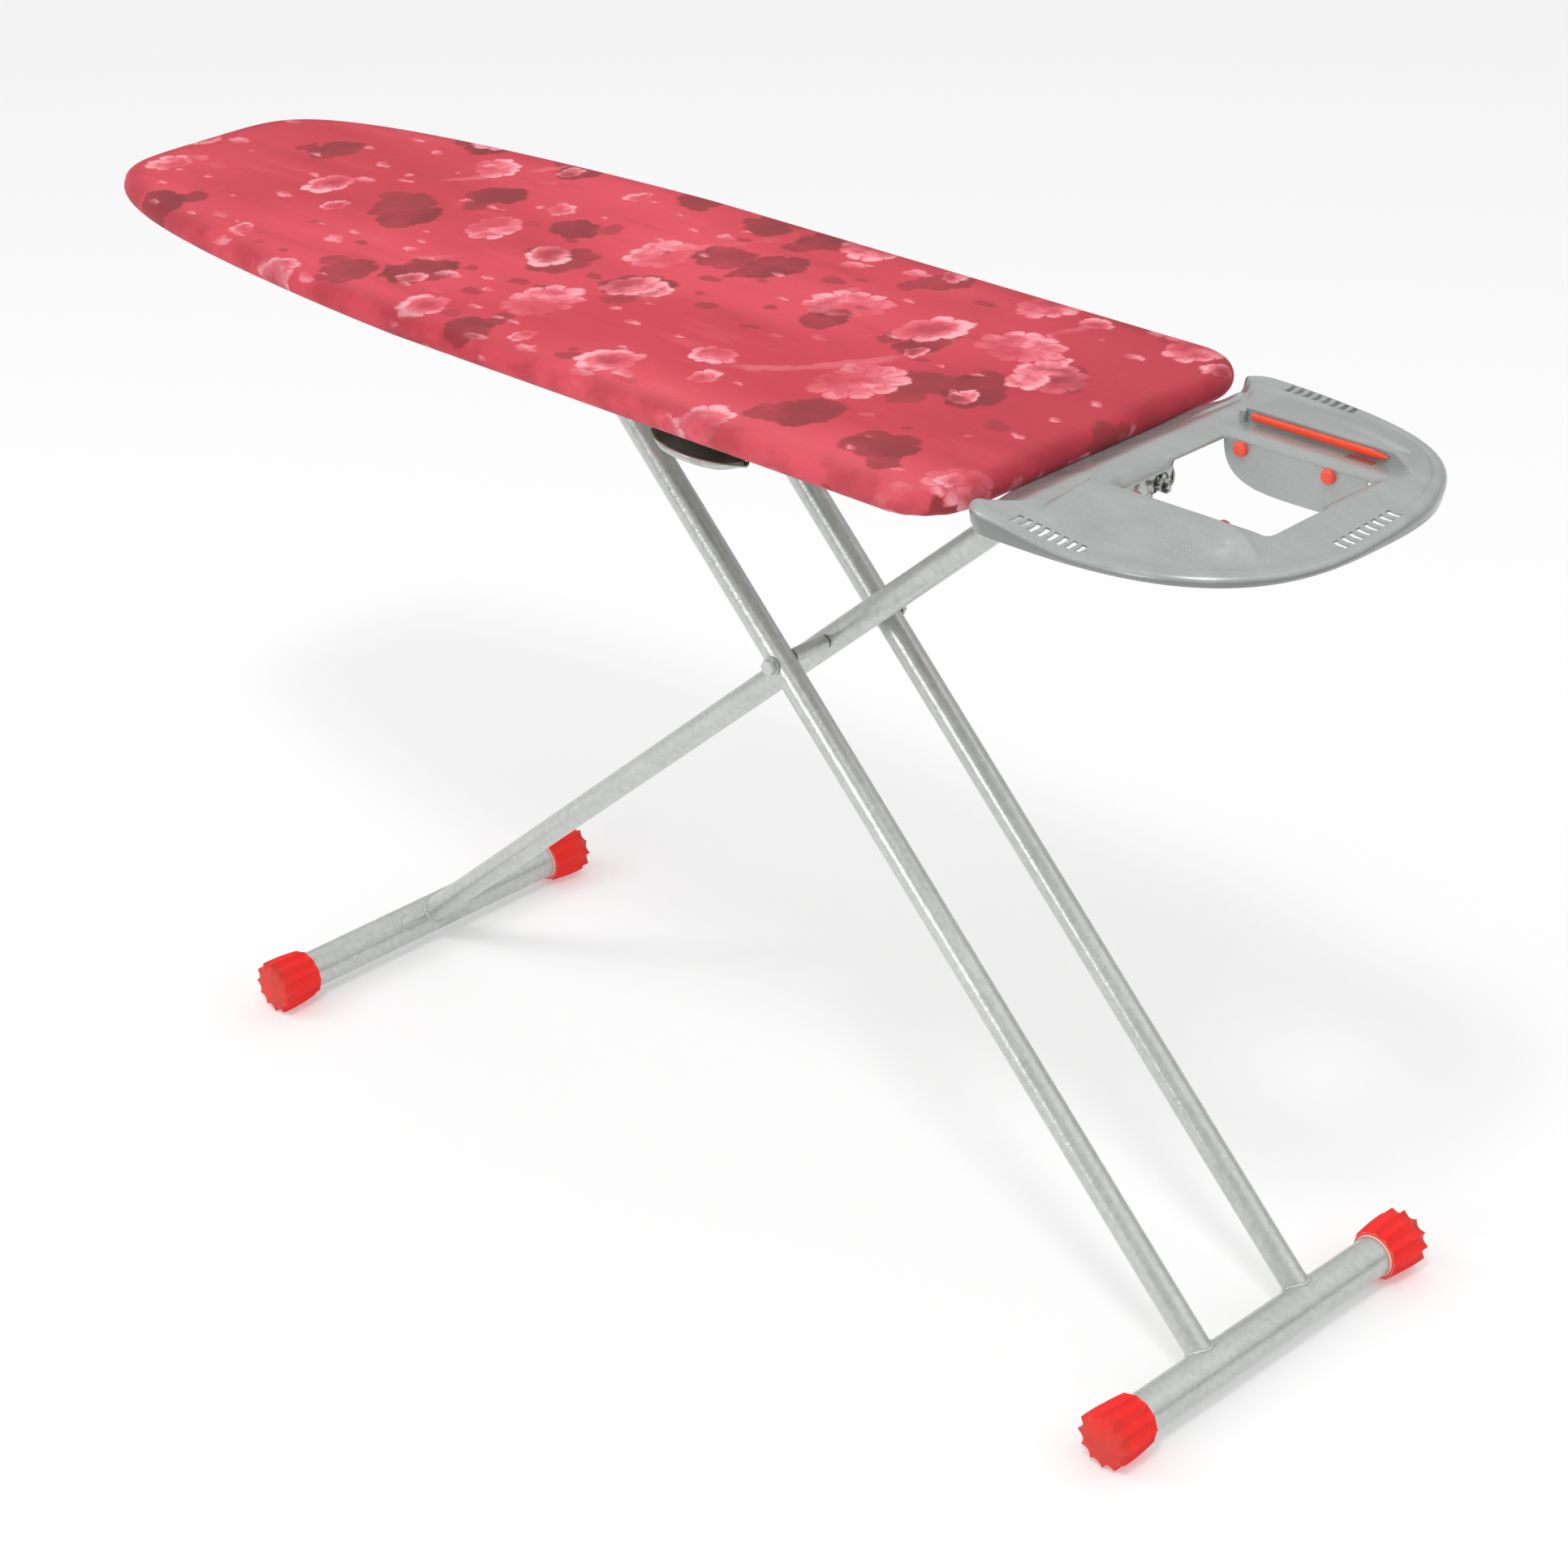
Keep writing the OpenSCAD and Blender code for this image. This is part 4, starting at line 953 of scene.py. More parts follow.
RIM_SKIN = 7 * MM
RIM_CREST = 0.9 * MM
FRONT_SHELF_DROP = 10.5 * MM
BACK_SHELF_DROP = 3.2 * MM
END_DIP = 16.5 * MM
BACK_SAG = 1.5 * MM
FRONT_SAG = 10 * MM
RIPPLE_PITCH = 6.5 * MM
RIPPLE = 0.14 * MM
GROOVE = 1.1 * MM
LEDGE = 2.4 * MM
VENT_CLEAR = 17 * MM
GRID_STEP = 2.1 * MM
SKIN = 1.8 * MM
SKIN_LEAST, SKIN_MOST = 1.2 * MM, 2.6 * MM
DECK_SINK = 0.3 * MM
FLAP_X = OPENING_X[0] + 70 * MM
FLAP_HALF = 72 * MM
FLAP_SQUARE = 3.2
FLAP_EDGE = 1.5 * MM
FLAP_BOW = 0.8 * MM
LUG_KNOBS = ((-12, 3), (-2, -3), (4, 5), (11, -4), (12, 8))


def far_edge(y):
    """Where the tray ends: a superellipse with the exponent TRAY_SQUARE."""
    share = np.clip(np.abs(y) / HALF_TRAY, 0, 1)
    return TRAY_END - TRAY_ROUND + TRAY_ROUND * (1 - share ** TRAY_SQUARE) ** (1 / TRAY_SQUARE)


def near_edge(y):
    """Where the tray starts: under the board's rolled edge, and a little outside it at the
    corners."""
    outside = smooth_step(np.abs(y), HALF_TRAY - 85 * MM, HALF_TRAY - NEAR_ROUND - 8 * MM)
    return NEAR_X + (CORNER_X - NEAR_X) * outside


def tray_outline(count):
    """The tray seen from above, counterclockwise: a superellipse at the far end, and the
    near edge along the board's end, with round corners between."""
    a = np.linspace(-math.pi / 2, math.pi / 2, 400)
    power = 2 / TRAY_SQUARE
    end = np.stack([TRAY_END - TRAY_ROUND + TRAY_ROUND * np.abs(np.cos(a)) ** power,
                    HALF_TRAY * np.sign(a) * np.abs(np.sin(a)) ** power], 1)
    b = np.linspace(math.pi / 2, math.pi, 40)
    corner = np.stack([CORNER_X + NEAR_ROUND + NEAR_ROUND * np.cos(b),
                       HALF_TRAY - NEAR_ROUND + NEAR_ROUND * np.sin(b)], 1)
    y = np.linspace(HALF_TRAY - NEAR_ROUND - 1 * MM, -HALF_TRAY + NEAR_ROUND + 1 * MM, 200)
    near = np.stack([near_edge(y), y], 1)
    return closed_line(np.vstack([end, corner, near, corner[::-1] * (1, -1)]), count)


def from_line(points, line):
    """The distance from each point to the closest point of a closely spaced line."""
    found = [np.hypot(part[:, None, 0] - line[None, :, 0],
                      part[:, None, 1] - line[None, :, 1]).min(1)
             for part in np.array_split(points, 40)]
    return np.concatenate(found)


def rim_height(x, y, d):
    """Height of the tray's skin above the deck, d inside its edge: a rolled rim that rounds
    over at the edge, and a groove inside it. Under the board's edge it stays flat."""
    over = RIM_ROUND - np.sqrt(np.clip(RIM_ROUND ** 2 - np.clip(RIM_ROUND - d, 0, None) ** 2,
                                       0, None))
    free = np.maximum(smooth_step(x - BOARD_END, 5 * MM, 14 * MM),
                      smooth_step(np.abs(y), HALF_TRAY - 48 * MM, HALF_TRAY - 28 * MM))
    return (RIM_CREST * bell(d, 8.5 * MM, 3.2 * MM) - over) * free


def ridge_height(x, y, d, shift=0.0):
    """A ridge on each side: a steep inner face, a narrow crest, and a slope out to the rim."""
    side = np.abs(y) - shift
    crest = CREST_Z - DECK_Z
    past = np.clip(side - RIDGE_Y, 0, None)
    slope = crest * smooth_step((d - 9 * MM) / np.maximum(d + past - 10 * MM, 1 * MM), 0, 1)
    across = slope * smooth_step(side, RIDGE_Y - 0.2 * MM, RIDGE_Y + 1.0 * MM)
    return across * plateau(x, OPENING_X[0] - 15 * MM + shift, OPENING_X[0] + shift,
                            OPENING_X[1] - 8 * MM - shift, OPENING_X[1] + 18 * MM - shift)


def shelf_drop(x, y):
    """How far the shelves beside the opening slope down to its flaps; the front one is
    the deeper."""
    along = plateau(x, OPENING_X[0] - 8 * MM, OPENING_X[0] + 3 * MM, OPENING_X[1] - 3 * MM,
                    OPENING_X[1] + 8 * MM)
    down = 1 - smooth_step(np.abs(y), OPENING_Y - 6 * MM, OPENING_Y + SHELF)
    return np.where(y < 0, FRONT_SHELF_DROP, BACK_SHELF_DROP) * along * down


def end_dip(x, y):
    """How far the deck dips along the board's end, so that the cover's edge shows. The two
    near corners stand up as lugs, beyond a slanting step."""
    dip = END_DIP * (1 - smooth_step(x - BOARD_END, -4 * MM, 46 * MM))
    lug = (x - BOARD_END - 10 * MM - 1.25 * (HALF_TRAY - 16 * MM - np.abs(y))) / 1.6
    return dip * (1 - smooth_step(lug, -2.2 * MM, 2.2 * MM))


def side_sag(x, y, d):
    """How far the deck falls towards the rim: most along the front, least along the back."""
    most = BACK_SAG + FRONT_SAG * smooth_step(-y, -120 * MM, 60 * MM)
    return most * smooth_step(x, 474 * MM, 590 * MM) * (1 - smooth_step(d, 4 * MM, 58 * MM))


def tray_skin(x, y, d, shift=0.0):
    """Height of the tray's upper skin over the plan point (x, y), d inside its edge."""
    ripple = np.sin(TURN * d / RIPPLE_PITCH + 1.2 * np.sin(TURN * x / (70 * MM)))
    ripple *= plateau(d, 14 * MM, 19 * MM, 40 * MM, 58 * MM)
    ripple *= smooth_step(x, 520 * MM, 600 * MM) * (1 - smooth_step(y, 0, 90 * MM))
    ledge = (1 - smooth_step(d, 22 * MM, 26.5 * MM)) * smooth_step(y, 60 * MM, 120 * MM)
    ledge *= 1 - smooth_step(x, 500 * MM, 640 * MM)
    groove = bell(d, 12 * MM, 1.3 * MM) * smooth_step(x, 590 * MM, 640 * MM)
    groove *= smooth_step(y, 40 * MM, 70 * MM)
    return (DECK_Z + rim_height(x, y, d) + ridge_height(x, y, d, shift) - shelf_drop(x, y)
            - end_dip(x, y) - side_sag(x, y, d) + RIPPLE * ripple - GROOVE * groove
            + LEDGE * ledge)


def lines(low, high, step, *features):
    """Grid lines from low to high about `step` apart, with a line on each feature."""
    fixed = np.unique(np.round(np.concatenate([np.atleast_1d(f) for f in features]), 6))
    even = np.linspace(low, high, int(round((high - low) / step)) + 1)
    clear = np.abs(even[:, None] - fixed[None]).min(1) > 0.45 * step
    return np.sort(np.concatenate([even[clear], fixed]))


def cell_plate(name, xs, ys, kept, top, bottom):
    """A closed plate over a grid of cells: a face above and below each kept cell, and a
    wall wherever a kept cell has no kept neighbour."""
    index = np.arange(len(xs) * len(ys)).reshape(len(xs), len(ys))
    lower = index.size
    a, b, c, d = index[:-1, :-1], index[1:, :-1], index[1:, 1:], index[:-1, 1:]
    around = np.pad(kept, 1)
    faces = [np.stack([a, b, c, d], 2)[kept], np.stack([a, d, c, b], 2)[kept] + lower]
    sides = ((a, b, around[1:-1, :-2]), (b, c, around[2:, 1:-1]),
             (c, d, around[1:-1, 2:]), (d, a, around[:-2, 1:-1]))
    for start, end, neighbour in sides:
        open_side = kept & ~neighbour
        s, e = start[open_side], end[open_side]
        faces.append(np.stack([s, s + lower, e + lower, e], 1))
    faces = np.concatenate(faces)
    x, y = np.meshgrid(xs, ys, indexing="ij")
    points = np.concatenate([np.stack([x, y, top], 2).reshape(-1, 3),
                             np.stack([x, y, bottom], 2).reshape(-1, 3)])
    used, faces = np.unique(faces, return_inverse=True)
    return closed_shell(mesh_from(name, points[used], faces.reshape(-1, 4)), 40)


def make_tray_deck(line):
    """The tray's deck, ridges and vents as one skin of even thickness."""
    vent_lines = VENT_X + VENT_PITCH * np.arange(VENTS)
    vent_side = HALF_TRAY - VENT_EDGE - VENT_LENGTH
    end_lines = VENT_PITCH * (np.arange(VENTS) - VENTS / 2)
    fine = np.array([-1.0, -0.2, 0.1, 0.4, 0.7, 1.0, 1.8]) * MM
    ys = lines(-HALF_TRAY, HALF_TRAY, GRID_STEP, OPENING_Y, -OPENING_Y, end_lines,
               end_lines + VENT_WIDTH, vent_side, vent_side + VENT_LENGTH, -vent_side,
               -vent_side - VENT_LENGTH, RIDGE_Y + fine, -RIDGE_Y - fine)
    xs = lines(NEAR_X, TRAY_END, GRID_STEP, OPENING_X, vent_lines, vent_lines + VENT_WIDTH,
               TRAY_END - VENT_EDGE - VENT_LENGTH, TRAY_END - VENT_EDGE)
    x, y = np.meshgrid(xs, ys, indexing="ij")
    plan = np.stack([x.ravel(), y.ravel()], 1)
    d = from_line(plan, line).reshape(x.shape)
    mid_x, mid_y = (xs[1:] + xs[:-1]) / 2, (ys[1:] + ys[:-1]) / 2
    cx, cy = np.meshgrid(mid_x, mid_y, indexing="ij")
    cell_d = (d[1:, 1:] + d[:-1, 1:] + d[1:, :-1] + d[:-1, :-1]) / 4
    corner_x = np.clip(CORNER_X + NEAR_ROUND - cx, 0, None)
    corner_y = np.abs(cy) - HALF_TRAY + NEAR_ROUND
    inside = np.where(corner_y > 0, np.hypot(corner_x, corner_y) < NEAR_ROUND,
                      cx > near_edge(cy)) & (cx < far_edge(cy))
    inside &= cell_d > RIM_SKIN - 3 * MM
    opening = (cx > OPENING_X[0]) & (cx < OPENING_X[1]) & (np.abs(cy) < OPENING_Y)
    beside = (np.abs(cy) > vent_side) & (np.abs(cy) < vent_side + VENT_LENGTH)
    in_slot = ((cx - VENT_X) % VENT_PITCH < VENT_WIDTH) & (cx > VENT_X) & (
        cx < vent_lines[-1] + VENT_WIDTH)
    at_end = (cx > TRAY_END - VENT_EDGE - VENT_LENGTH) & (cx < TRAY_END - VENT_EDGE)
    end_slot = ((cy - end_lines[0]) % VENT_PITCH < VENT_WIDTH) & (cy > end_lines[0]) & (
        cy < end_lines[-1] + VENT_WIDTH)
    kept = inside & ~opening & ~(beside & in_slot) & ~(at_end & end_slot)
    sink = DECK_SINK * (1 - smooth_step(d, RIM_SKIN - 1.6 * MM, RIM_SKIN - 0.4 * MM))
    top = tray_skin(x, y, d) - sink
    bottom = tray_skin(x, y, np.maximum(d, 13 * MM), 1.6 * MM) - SKIN
    bottom = np.clip(bottom, top - SKIN_MOST, top - SKIN_LEAST)
    return cell_plate("tray_deck", xs, ys, kept, top, bottom)


def make_tray_rim(line):
    """The tray's edge: the skin rounds over, runs down as a wall and back up inside. The
    wall is cut away under the back vents."""
    normal = outward(line)
    d = np.concatenate([np.linspace(RIM_SKIN, 0.5 * MM, 16), [0.25 * MM, 0.1 * MM, 0]])
    flat = line[:, None, :] - normal[:, None, :] * d[None, :, None]
    x, y = flat[..., 0], flat[..., 1]
    top = tray_skin(x, y, np.broadcast_to(d, x.shape))
    top -= 0.22 * MM * smooth_step(d, RIM_SKIN - 0.9 * MM, RIM_SKIN)[None]
    vents_end = VENT_X + VENT_PITCH * VENTS
    vented = plateau(line[:, 0], VENT_X - 8 * MM, VENT_X - 2 * MM, vents_end,
                     vents_end + 6 * MM) * (line[:, 1] > 0)
    foot = np.minimum(RIM_FOOT + VENT_CLEAR * vented, top[:, -1] - 3 * MM)
    inset = np.array([0.4, 2.6, 3.0, 3.6, 4.3, 4.9, 5.3]) * MM
    rise = np.array([0, 1.2, 0.3, 0, 0.3, 1.2, 0]) * MM
    wall = line[:, None, :] - normal[:, None, :] * inset[None, :, None]
    tall = foot[:, None] + rise[None]
    tall[:, 0] = top[:, -1] - 0.25 * (top[:, -1] - foot)
    tall[:, -1] = top[:, 0] - 1.4 * MM
    points = np.concatenate([np.concatenate([flat, top[..., None]], 2),
                             np.concatenate([wall, tall[..., None]], 2)], 1)
    return surface("tray_rim", points, True, True)


def rounded_rectangle(x0, x1, y0, y1, radius, count):
    """A counterclockwise rectangle with round corners."""
    a = np.linspace(0, math.pi / 2, 9)
    corners = ((x1 - radius, y1 - radius, 0), (x0 + radius, y1 - radius, 1),
               (x0 + radius, y0 + radius, 2), (x1 - radius, y0 + radius, 3))
    arcs = [np.stack([cx + radius * np.cos(a + k * math.pi / 2),
                      cy + radius * np.sin(a + k * math.pi / 2)], 1) for cx, cy, k in corners]
    return closed_line(np.vstack(arcs), count)


def make_opening_lip():
    """The rounded lip of the opening, which follows the skin around it."""
    line = rounded_rectangle(*OPENING_X, -OPENING_Y, OPENING_Y, 3 * MM, 260)
    normal = outward(line)
    a = np.linspace(-math.pi / 2, 1.5 * math.pi, 14, endpoint=False)
    across = 1.2 * MM - 1.6 * MM * np.cos(a)
    down = -1.7 * MM + 1.8 * MM * np.sin(a)
    flat = line[:, None, :] + normal[:, None, :] * across[None, :, None]
    skin = DECK_Z - shelf_drop(line[:, 0], line[:, 1])
    tall = skin[:, None] + 0.25 * MM + down[None]
    return surface("tray_lip", np.concatenate([flat, tall[..., None]], 2), True, True)


def make_flap(side):
    """A flap that hangs beside the opening: the lower half of a superellipse, with the
    exponent FLAP_SQUARE, as a plate with a rounded edge and a slightly bowed face."""
    depth = DECK_Z - tray_low.z + 4 * MM
    top = shelf_drop(FLAP_X, side * OPENING_Y) + FLAP_EDGE
    a = np.linspace(0, TURN, 144, endpoint=False)
    power = 2 / FLAP_SQUARE
    shape_x = FLAP_HALF * np.sign(np.cos(a)) * np.abs(np.cos(a)) ** power
    shape_z = np.where(np.sin(a) < 0, -depth * np.abs(np.sin(a)) ** power, -top)
    b = np.linspace(-math.pi / 2, math.pi / 2, 7)
    rounded = 1 - FLAP_EDGE / FLAP_HALF * (1 - np.cos(b))
    share = np.concatenate([[0, 0.5, 0.9], rounded, [0.9, 0.5, 0]])
    plate_y = np.concatenate([[-FLAP_EDGE] * 3, FLAP_EDGE * np.sin(b), [FLAP_EDGE] * 3])
    core_z = -(depth + top) / 2
    bow = FLAP_BOW * (1 - share ** 2)
    x = FLAP_X + share[:, None] * shape_x[None]
    z = DECK_Z + core_z + share[:, None] * (shape_z - core_z)[None]
    y = np.broadcast_to((side * (OPENING_Y + FLAP_EDGE + bow + plate_y))[:, None], x.shape)
    return surface("tray_flap", np.stack([x, y, z], 2), False, True)


def rounded_block(name, low, high, radius, steps=16):
    """A block with rounded edges: a small sphere whose halves are pulled apart along each
    axis, point = middle + core * clip(9 * direction, -1, 1) + radius * direction."""
    low, high = np.asarray(low), np.asarray(high)
    u = np.linspace(0, TURN, 2 * steps, endpoint=False)[None, :] + TURN / (8 * steps)
    v = np.linspace(-math.pi / 2, math.pi / 2, steps + 1)[:, None]
    ball = np.stack([np.cos(v) * np.cos(u), np.cos(v) * np.sin(u),
                     np.sin(v) * np.ones_like(u)], 2)
    core = (high - low) / 2 - radius
    points = (low + high) / 2 + core * np.clip(9 * ball, -1, 1) + radius * ball
    points[0], points[-1] = points[0].mean(0), points[-1].mean(0)
    return surface(name, points, False, True)


def make_tray():
    """The iron rest tray: deck, rolled rim, opening, flaps and the stops of the strips."""
    line = tray_outline(1200)
    parts = [make_tray_deck(line), make_tray_rim(line), make_opening_lip()]
    for side in (-1, 1):
        parts.append(make_flap(side))
        stop_y = sorted((side * (strip_low.y - 0.6 * MM), side * (strip_high.y + 0.4 * MM)))
        parts.append(rounded_block("stop", (strip_low.x - 6 * MM, stop_y[0], DECK_Z - 1 * MM),
                                   (strip_low.x - 0.6 * MM, stop_y[1], strip_high.z - 1 * MM),
                                   1.2 * MM))
    return joined("iron_rest", parts)


def mark_wall_shade(tray):
    """Marks the tray's outer wall for painted shade: near the outline |y / half|^n + (past /
    round)^n = 1, where n is TRAY_SQUARE, and facing sideways or down. The finish paints it
    darker there."""
    mesh = tray.data
    place = np.zeros(len(mesh.vertices) * 3, np.float32)
    mesh.vertices.foreach_get("co", place)
    facing = np.zeros(len(mesh.loops) * 3, np.float32)
    mesh.corner_normals.foreach_get("vector", facing)
    point = np.zeros(len(mesh.loops), np.int32)
    mesh.loops.foreach_get("vertex_index", point)
    x, y, _ = place.reshape(-1, 3)[point].T
    past = np.clip(x - tray_high.x + TRAY_ROUND, 0, None) / TRAY_ROUND
    reach = (np.abs(y) / tray_high.y) ** TRAY_SQUARE + past ** TRAY_SQUARE
    # Painted shade mask: 1 on the outer wall where it faces sideways or down.
    wall = smooth_step(reach, 0.93, 0.955) * (1 - smooth_step(facing[2::3], 0.12, 0.42))
    mark = mesh.attributes.new("wall", "FLOAT", "CORNER")
    mark.data.foreach_set("value", wall.astype(np.float32))


tray = make_tray()
mark_wall_shade(tray)
dress(tray, "board", "tray_plastic", "iron_tray")


def make_tray_lug():
    """The cast lug under the tray that takes its bolt: two cheeks and a rounded core."""
    x, _, z = middle("tray_bolt")
    top_z = DECK_Z - 2.6 * MM
    parts = [rounded_block("core", (x - 6 * MM, -9 * MM, z - 10 * MM),
                           (x + 12 * MM, 9 * MM, top_z), 3 * MM)]
    for side in (-1, 1):
        cheek = sorted((side * 8 * MM, side * 15.3 * MM))
        parts.append(rounded_block("cheek", (x - 7 * MM, cheek[0], z - 13 * MM),
                                   (x + 15 * MM, cheek[1], top_z), 2.4 * MM))
    knob = [(0, 1.6 * MM), (1.6 * MM, 1.5 * MM), (2.4 * MM, 0.8 * MM), (2.6 * MM, -2 * MM)]
    for y, height in LUG_KNOBS:
        place = (x + 14.6 * MM, y * MM, z + height * MM)
        parts.append(lathed("knob", knob, place, (1, 0, 0), 16))
    for part in parts[3:]:
        close_shell(part)
    return joined("tray_lug", parts)


dress(make_tray_lug(), "board", "zinc_steel", finish=cast_zinc())


STRIP_START = strip_low.x + 6 * MM
STRIP_TIP = strip_high.x + 1.5 * MM
STRIP_TAPER = 16 * MM
STRIP_HALF = 3.4 * MM
STRIP_Z = DECK_Z + 5.9 * MM
TAB_END = strip_high.x - 9 * MM
TAB_LENGTH = 26 * MM
BUTTON_DOME = 4.3 * MM
BUTTON_FOOT = 1.6 * MM
BUTTON_LIP = 1.2 * MM
BACK_BUTTON_RISE = 0.3 * MM
FRONT_BUTTON_RISE = -1.2 * MM


def make_strip(side):
    """A silicone strip against a ridge: flat at the back, rounded at the front and top, and
    narrowed to a blunt outer point."""
    x0, x1 = STRIP_START, STRIP_TIP
    point = np.sin(np.linspace(0.15, 1, 10) * math.pi / 2)
    x = np.concatenate([[x0, x0], np.linspace(x0 + 0.8 * MM, x1 - STRIP_TAPER, 12),
                        x1 - STRIP_TAPER + STRIP_TAPER * point, [x1]])
    run = np.clip((x1 - x) / STRIP_TAPER, 0, 1)
    scale = (np.sqrt(run) * 0.85 + 0.15 * run) * (0.86 + 0.14 * smooth_step(x, x0, x1))
    scale[0], scale[1], scale[-1] = 0, 0.8, 0
    a = np.linspace(0, TURN, 40, endpoint=False)
    depth = strip_high.y - strip_low.y
    flat_back = np.where(np.cos(a) > 0, 0.35, 1.0)
    round_y = np.sign(np.cos(a)) * np.abs(np.cos(a)) ** np.where(np.cos(a) > 0, 0.3, 0.8)
    round_z = np.sign(np.sin(a)) * np.abs(np.sin(a)) ** 0.75
    mid_y = strip_high.y - 0.35 * depth
    y = side * (mid_y + depth * 0.65 * (flat_back * round_y)[None]
                * np.minimum(1, 1.6 * scale)[:, None])
    z = STRIP_Z + STRIP_HALF * round_z[None] * scale[:, None]
    return surface("ridge_strip", np.stack([np.broadcast_to(x[:, None], z.shape), y, z], 2),
                   False, True)


def make_tab(side):
    """A thin tab of silicone that lies on the shelf below the strip's outer end."""
    near, far = sorted((side * (strip_low.y - 6 * MM), side * (strip_low.y + 0.5 * MM)))
    z = DECK_Z - shelf_drop(TAB_END - TAB_LENGTH / 2, side * (strip_low.y - 3 * MM))
    return rounded_block("strip_tab", (TAB_END - TAB_LENGTH, near, z - 0.5 * MM),
                         (TAB_END, far, z + 0.7 * MM), 0.5 * MM, 12)


def make_buttons(side):
    """Two round bumper buttons with domed faces on the inside of a flap."""
    radius = (button_high.z - button_low.z) / 2
    rise = BACK_BUTTON_RISE if side > 0 else FRONT_BUTTON_RISE
    mid_z = (button_low.z + button_high.z) / 2 + rise
    a = np.linspace(0, math.pi / 2, 9)
    dome = np.stack([radius * np.cos(a) ** 0.6, -BUTTON_LIP - BUTTON_DOME * np.sin(a)], 1)
    profile = np.vstack([[(0, BUTTON_FOOT), (radius, BUTTON_FOOT)], dome])
    places = (button_low.x + radius, button_high.x - radius)
    return joined("flap_buttons", [
        lathed("button", profile, (x, side * OPENING_Y, mid_z), (0, side, 0)) for x in places])


# A darker red copy of the silicone, as painted shade: the strip tabs and the front buttons take
# it because they sit in shade.
painted_shade_red = silicone("painted_shade_silicone", shown(150, 62, 58), shown(172, 76, 68))
for side, word in ((-1, "front"), (1, "back")):
    dress(named(make_strip(side), "ridge_strip_" + word), "board", "strip_silicone",
          "silicone_strip_" + word)
    dress(named(make_tab(side), "strip_tab_" + word), "board", "strip_silicone",
          finish=painted_shade_red)
    dress(named(make_buttons(side), "flap_buttons_" + word), "board", "bumper_silicone",
          "bumper_buttons_" + word, finish=painted_shade_red if side < 0 else None)


# ---------------------------------------------------------------- foot caps and welds

CAP_RIBS = 12
CAP_RIB_DEPTH = 4.7 * MM


def make_cap(node, name):
    """A ribbed foot cap on the end of a foot bar. Its radius is
    valley + depth * (1 - |sin(ribs * angle / 2)|^0.75), so that the crests are sharp and the
    valleys are scooped. Along the bar it swells like a barrel, and the ribs run on over the
    rounded edge of its low domed end. A thin pale lip closes on the bar."""
    low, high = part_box(node)
    bar = node.split("_cap")[0] + "_bar"
    side = 1 if low.y > 0 else -1
    inner, outer = sorted((abs(low.y), abs(high.y)))
    bar_r = tube_radius(bar)
    centre_x, _, centre_z = middle(bar)
    crest = (high.x - low.x) / 2
    length = outer - inner
    t = np.concatenate([[0, 0.012, 0.035, 0.07], np.linspace(0.12, 0.93, 14)])
    swell = crest * (0.86 + 0.14 * np.sin(np.clip(0.10 + 0.88 * t, 0, 1) * 0.62 * math.pi))
    swell[:3] -= np.array([1.4, 0.6, 0.2]) * MM
    end_t = np.array([0.952, 0.968, 0.980, 0.988, 0.993, 0.997, 1.0])
    end_r = crest * np.array([0.985, 0.96, 0.91, 0.80, 0.58, 0.30, 0.0])
    ribs = np.concatenate([[0.10, 0.35, 0.65, 0.9], np.ones(14),
                           [1.0, 0.97, 0.86, 0.62, 0.30, 0.1, 0]])
    lip_reach = np.array([9, -1.4, -1.8, -1.4, 0.3]) * MM
    lip_r = bar_r + np.array([0.1, 0.1, 0.6, 1.3, 1.6]) * MM
    radius = np.concatenate([lip_r, swell, end_r])
    reach = np.concatenate([lip_reach, np.concatenate([t, end_t]) * length])
    depth = np.concatenate([np.zeros(5), ribs]) * CAP_RIB_DEPTH
    a = np.linspace(0, TURN, CAP_RIBS * 14, endpoint=False)
    scoop = np.abs(np.sin(CAP_RIBS * a / 2)) ** 0.75
    r = radius[:, None] - depth[:, None] * scoop[None]
    x = centre_x + r * np.cos(a)[None]
    z = np.maximum(centre_z + r * np.sin(a)[None], low.z)
    y = np.broadcast_to(side * (inner + reach)[:, None], x.shape)
    piece = surface(name, np.stack([x, y, z], 2), False, True, 38)
    return dress(piece, frame["nodes"][node]["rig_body"], "cap_plastic", node)


for cap in [n for n in frame["nodes"] if "_foot_cap_" in n]:
    make_cap(cap, cap.replace("_foot_cap_", "_foot_ribbed_cap_"))


BEAD_RADIUS = 2.0 * MM
SCAR_RADIUS = 1.3 * MM
SCAR_ACROSS = 12 * MM
SCAR_AROUND = 9 * MM
SCAR_TURN = math.radians(38)


def weld_bead(leg_y, bar, pin, leg_r):
    """The weld where a leg stands on its foot bar. The seam is
    h(angle) = sqrt(bar_r^2 - (leg_r * sin(angle))^2) along the leg, and the bead is a
    rippled tube that follows it."""
    centre, head = middle(bar), middle(pin)
    centre[1] = head[1] = leg_y
    up = (head - centre) / np.linalg.norm(head - centre)
    across = np.array([0, 1.0, 0])
    other = np.cross(up, across)
    a = np.linspace(0, TURN, 160, endpoint=False)
    rise = np.sqrt(tube_radius(bar) ** 2 - (leg_r * np.sin(a)) ** 2)
    radial = np.cos(a)[:, None] * across + np.sin(a)[:, None] * other
    seam = centre + leg_r * radial + rise[:, None] * up
    size = BEAD_RADIUS * (1 + 0.10 * np.sin(34 * a) + 0.08 * np.sin(3 * a + 1))
    return tube("bead", seam, radial, size, 12, True)


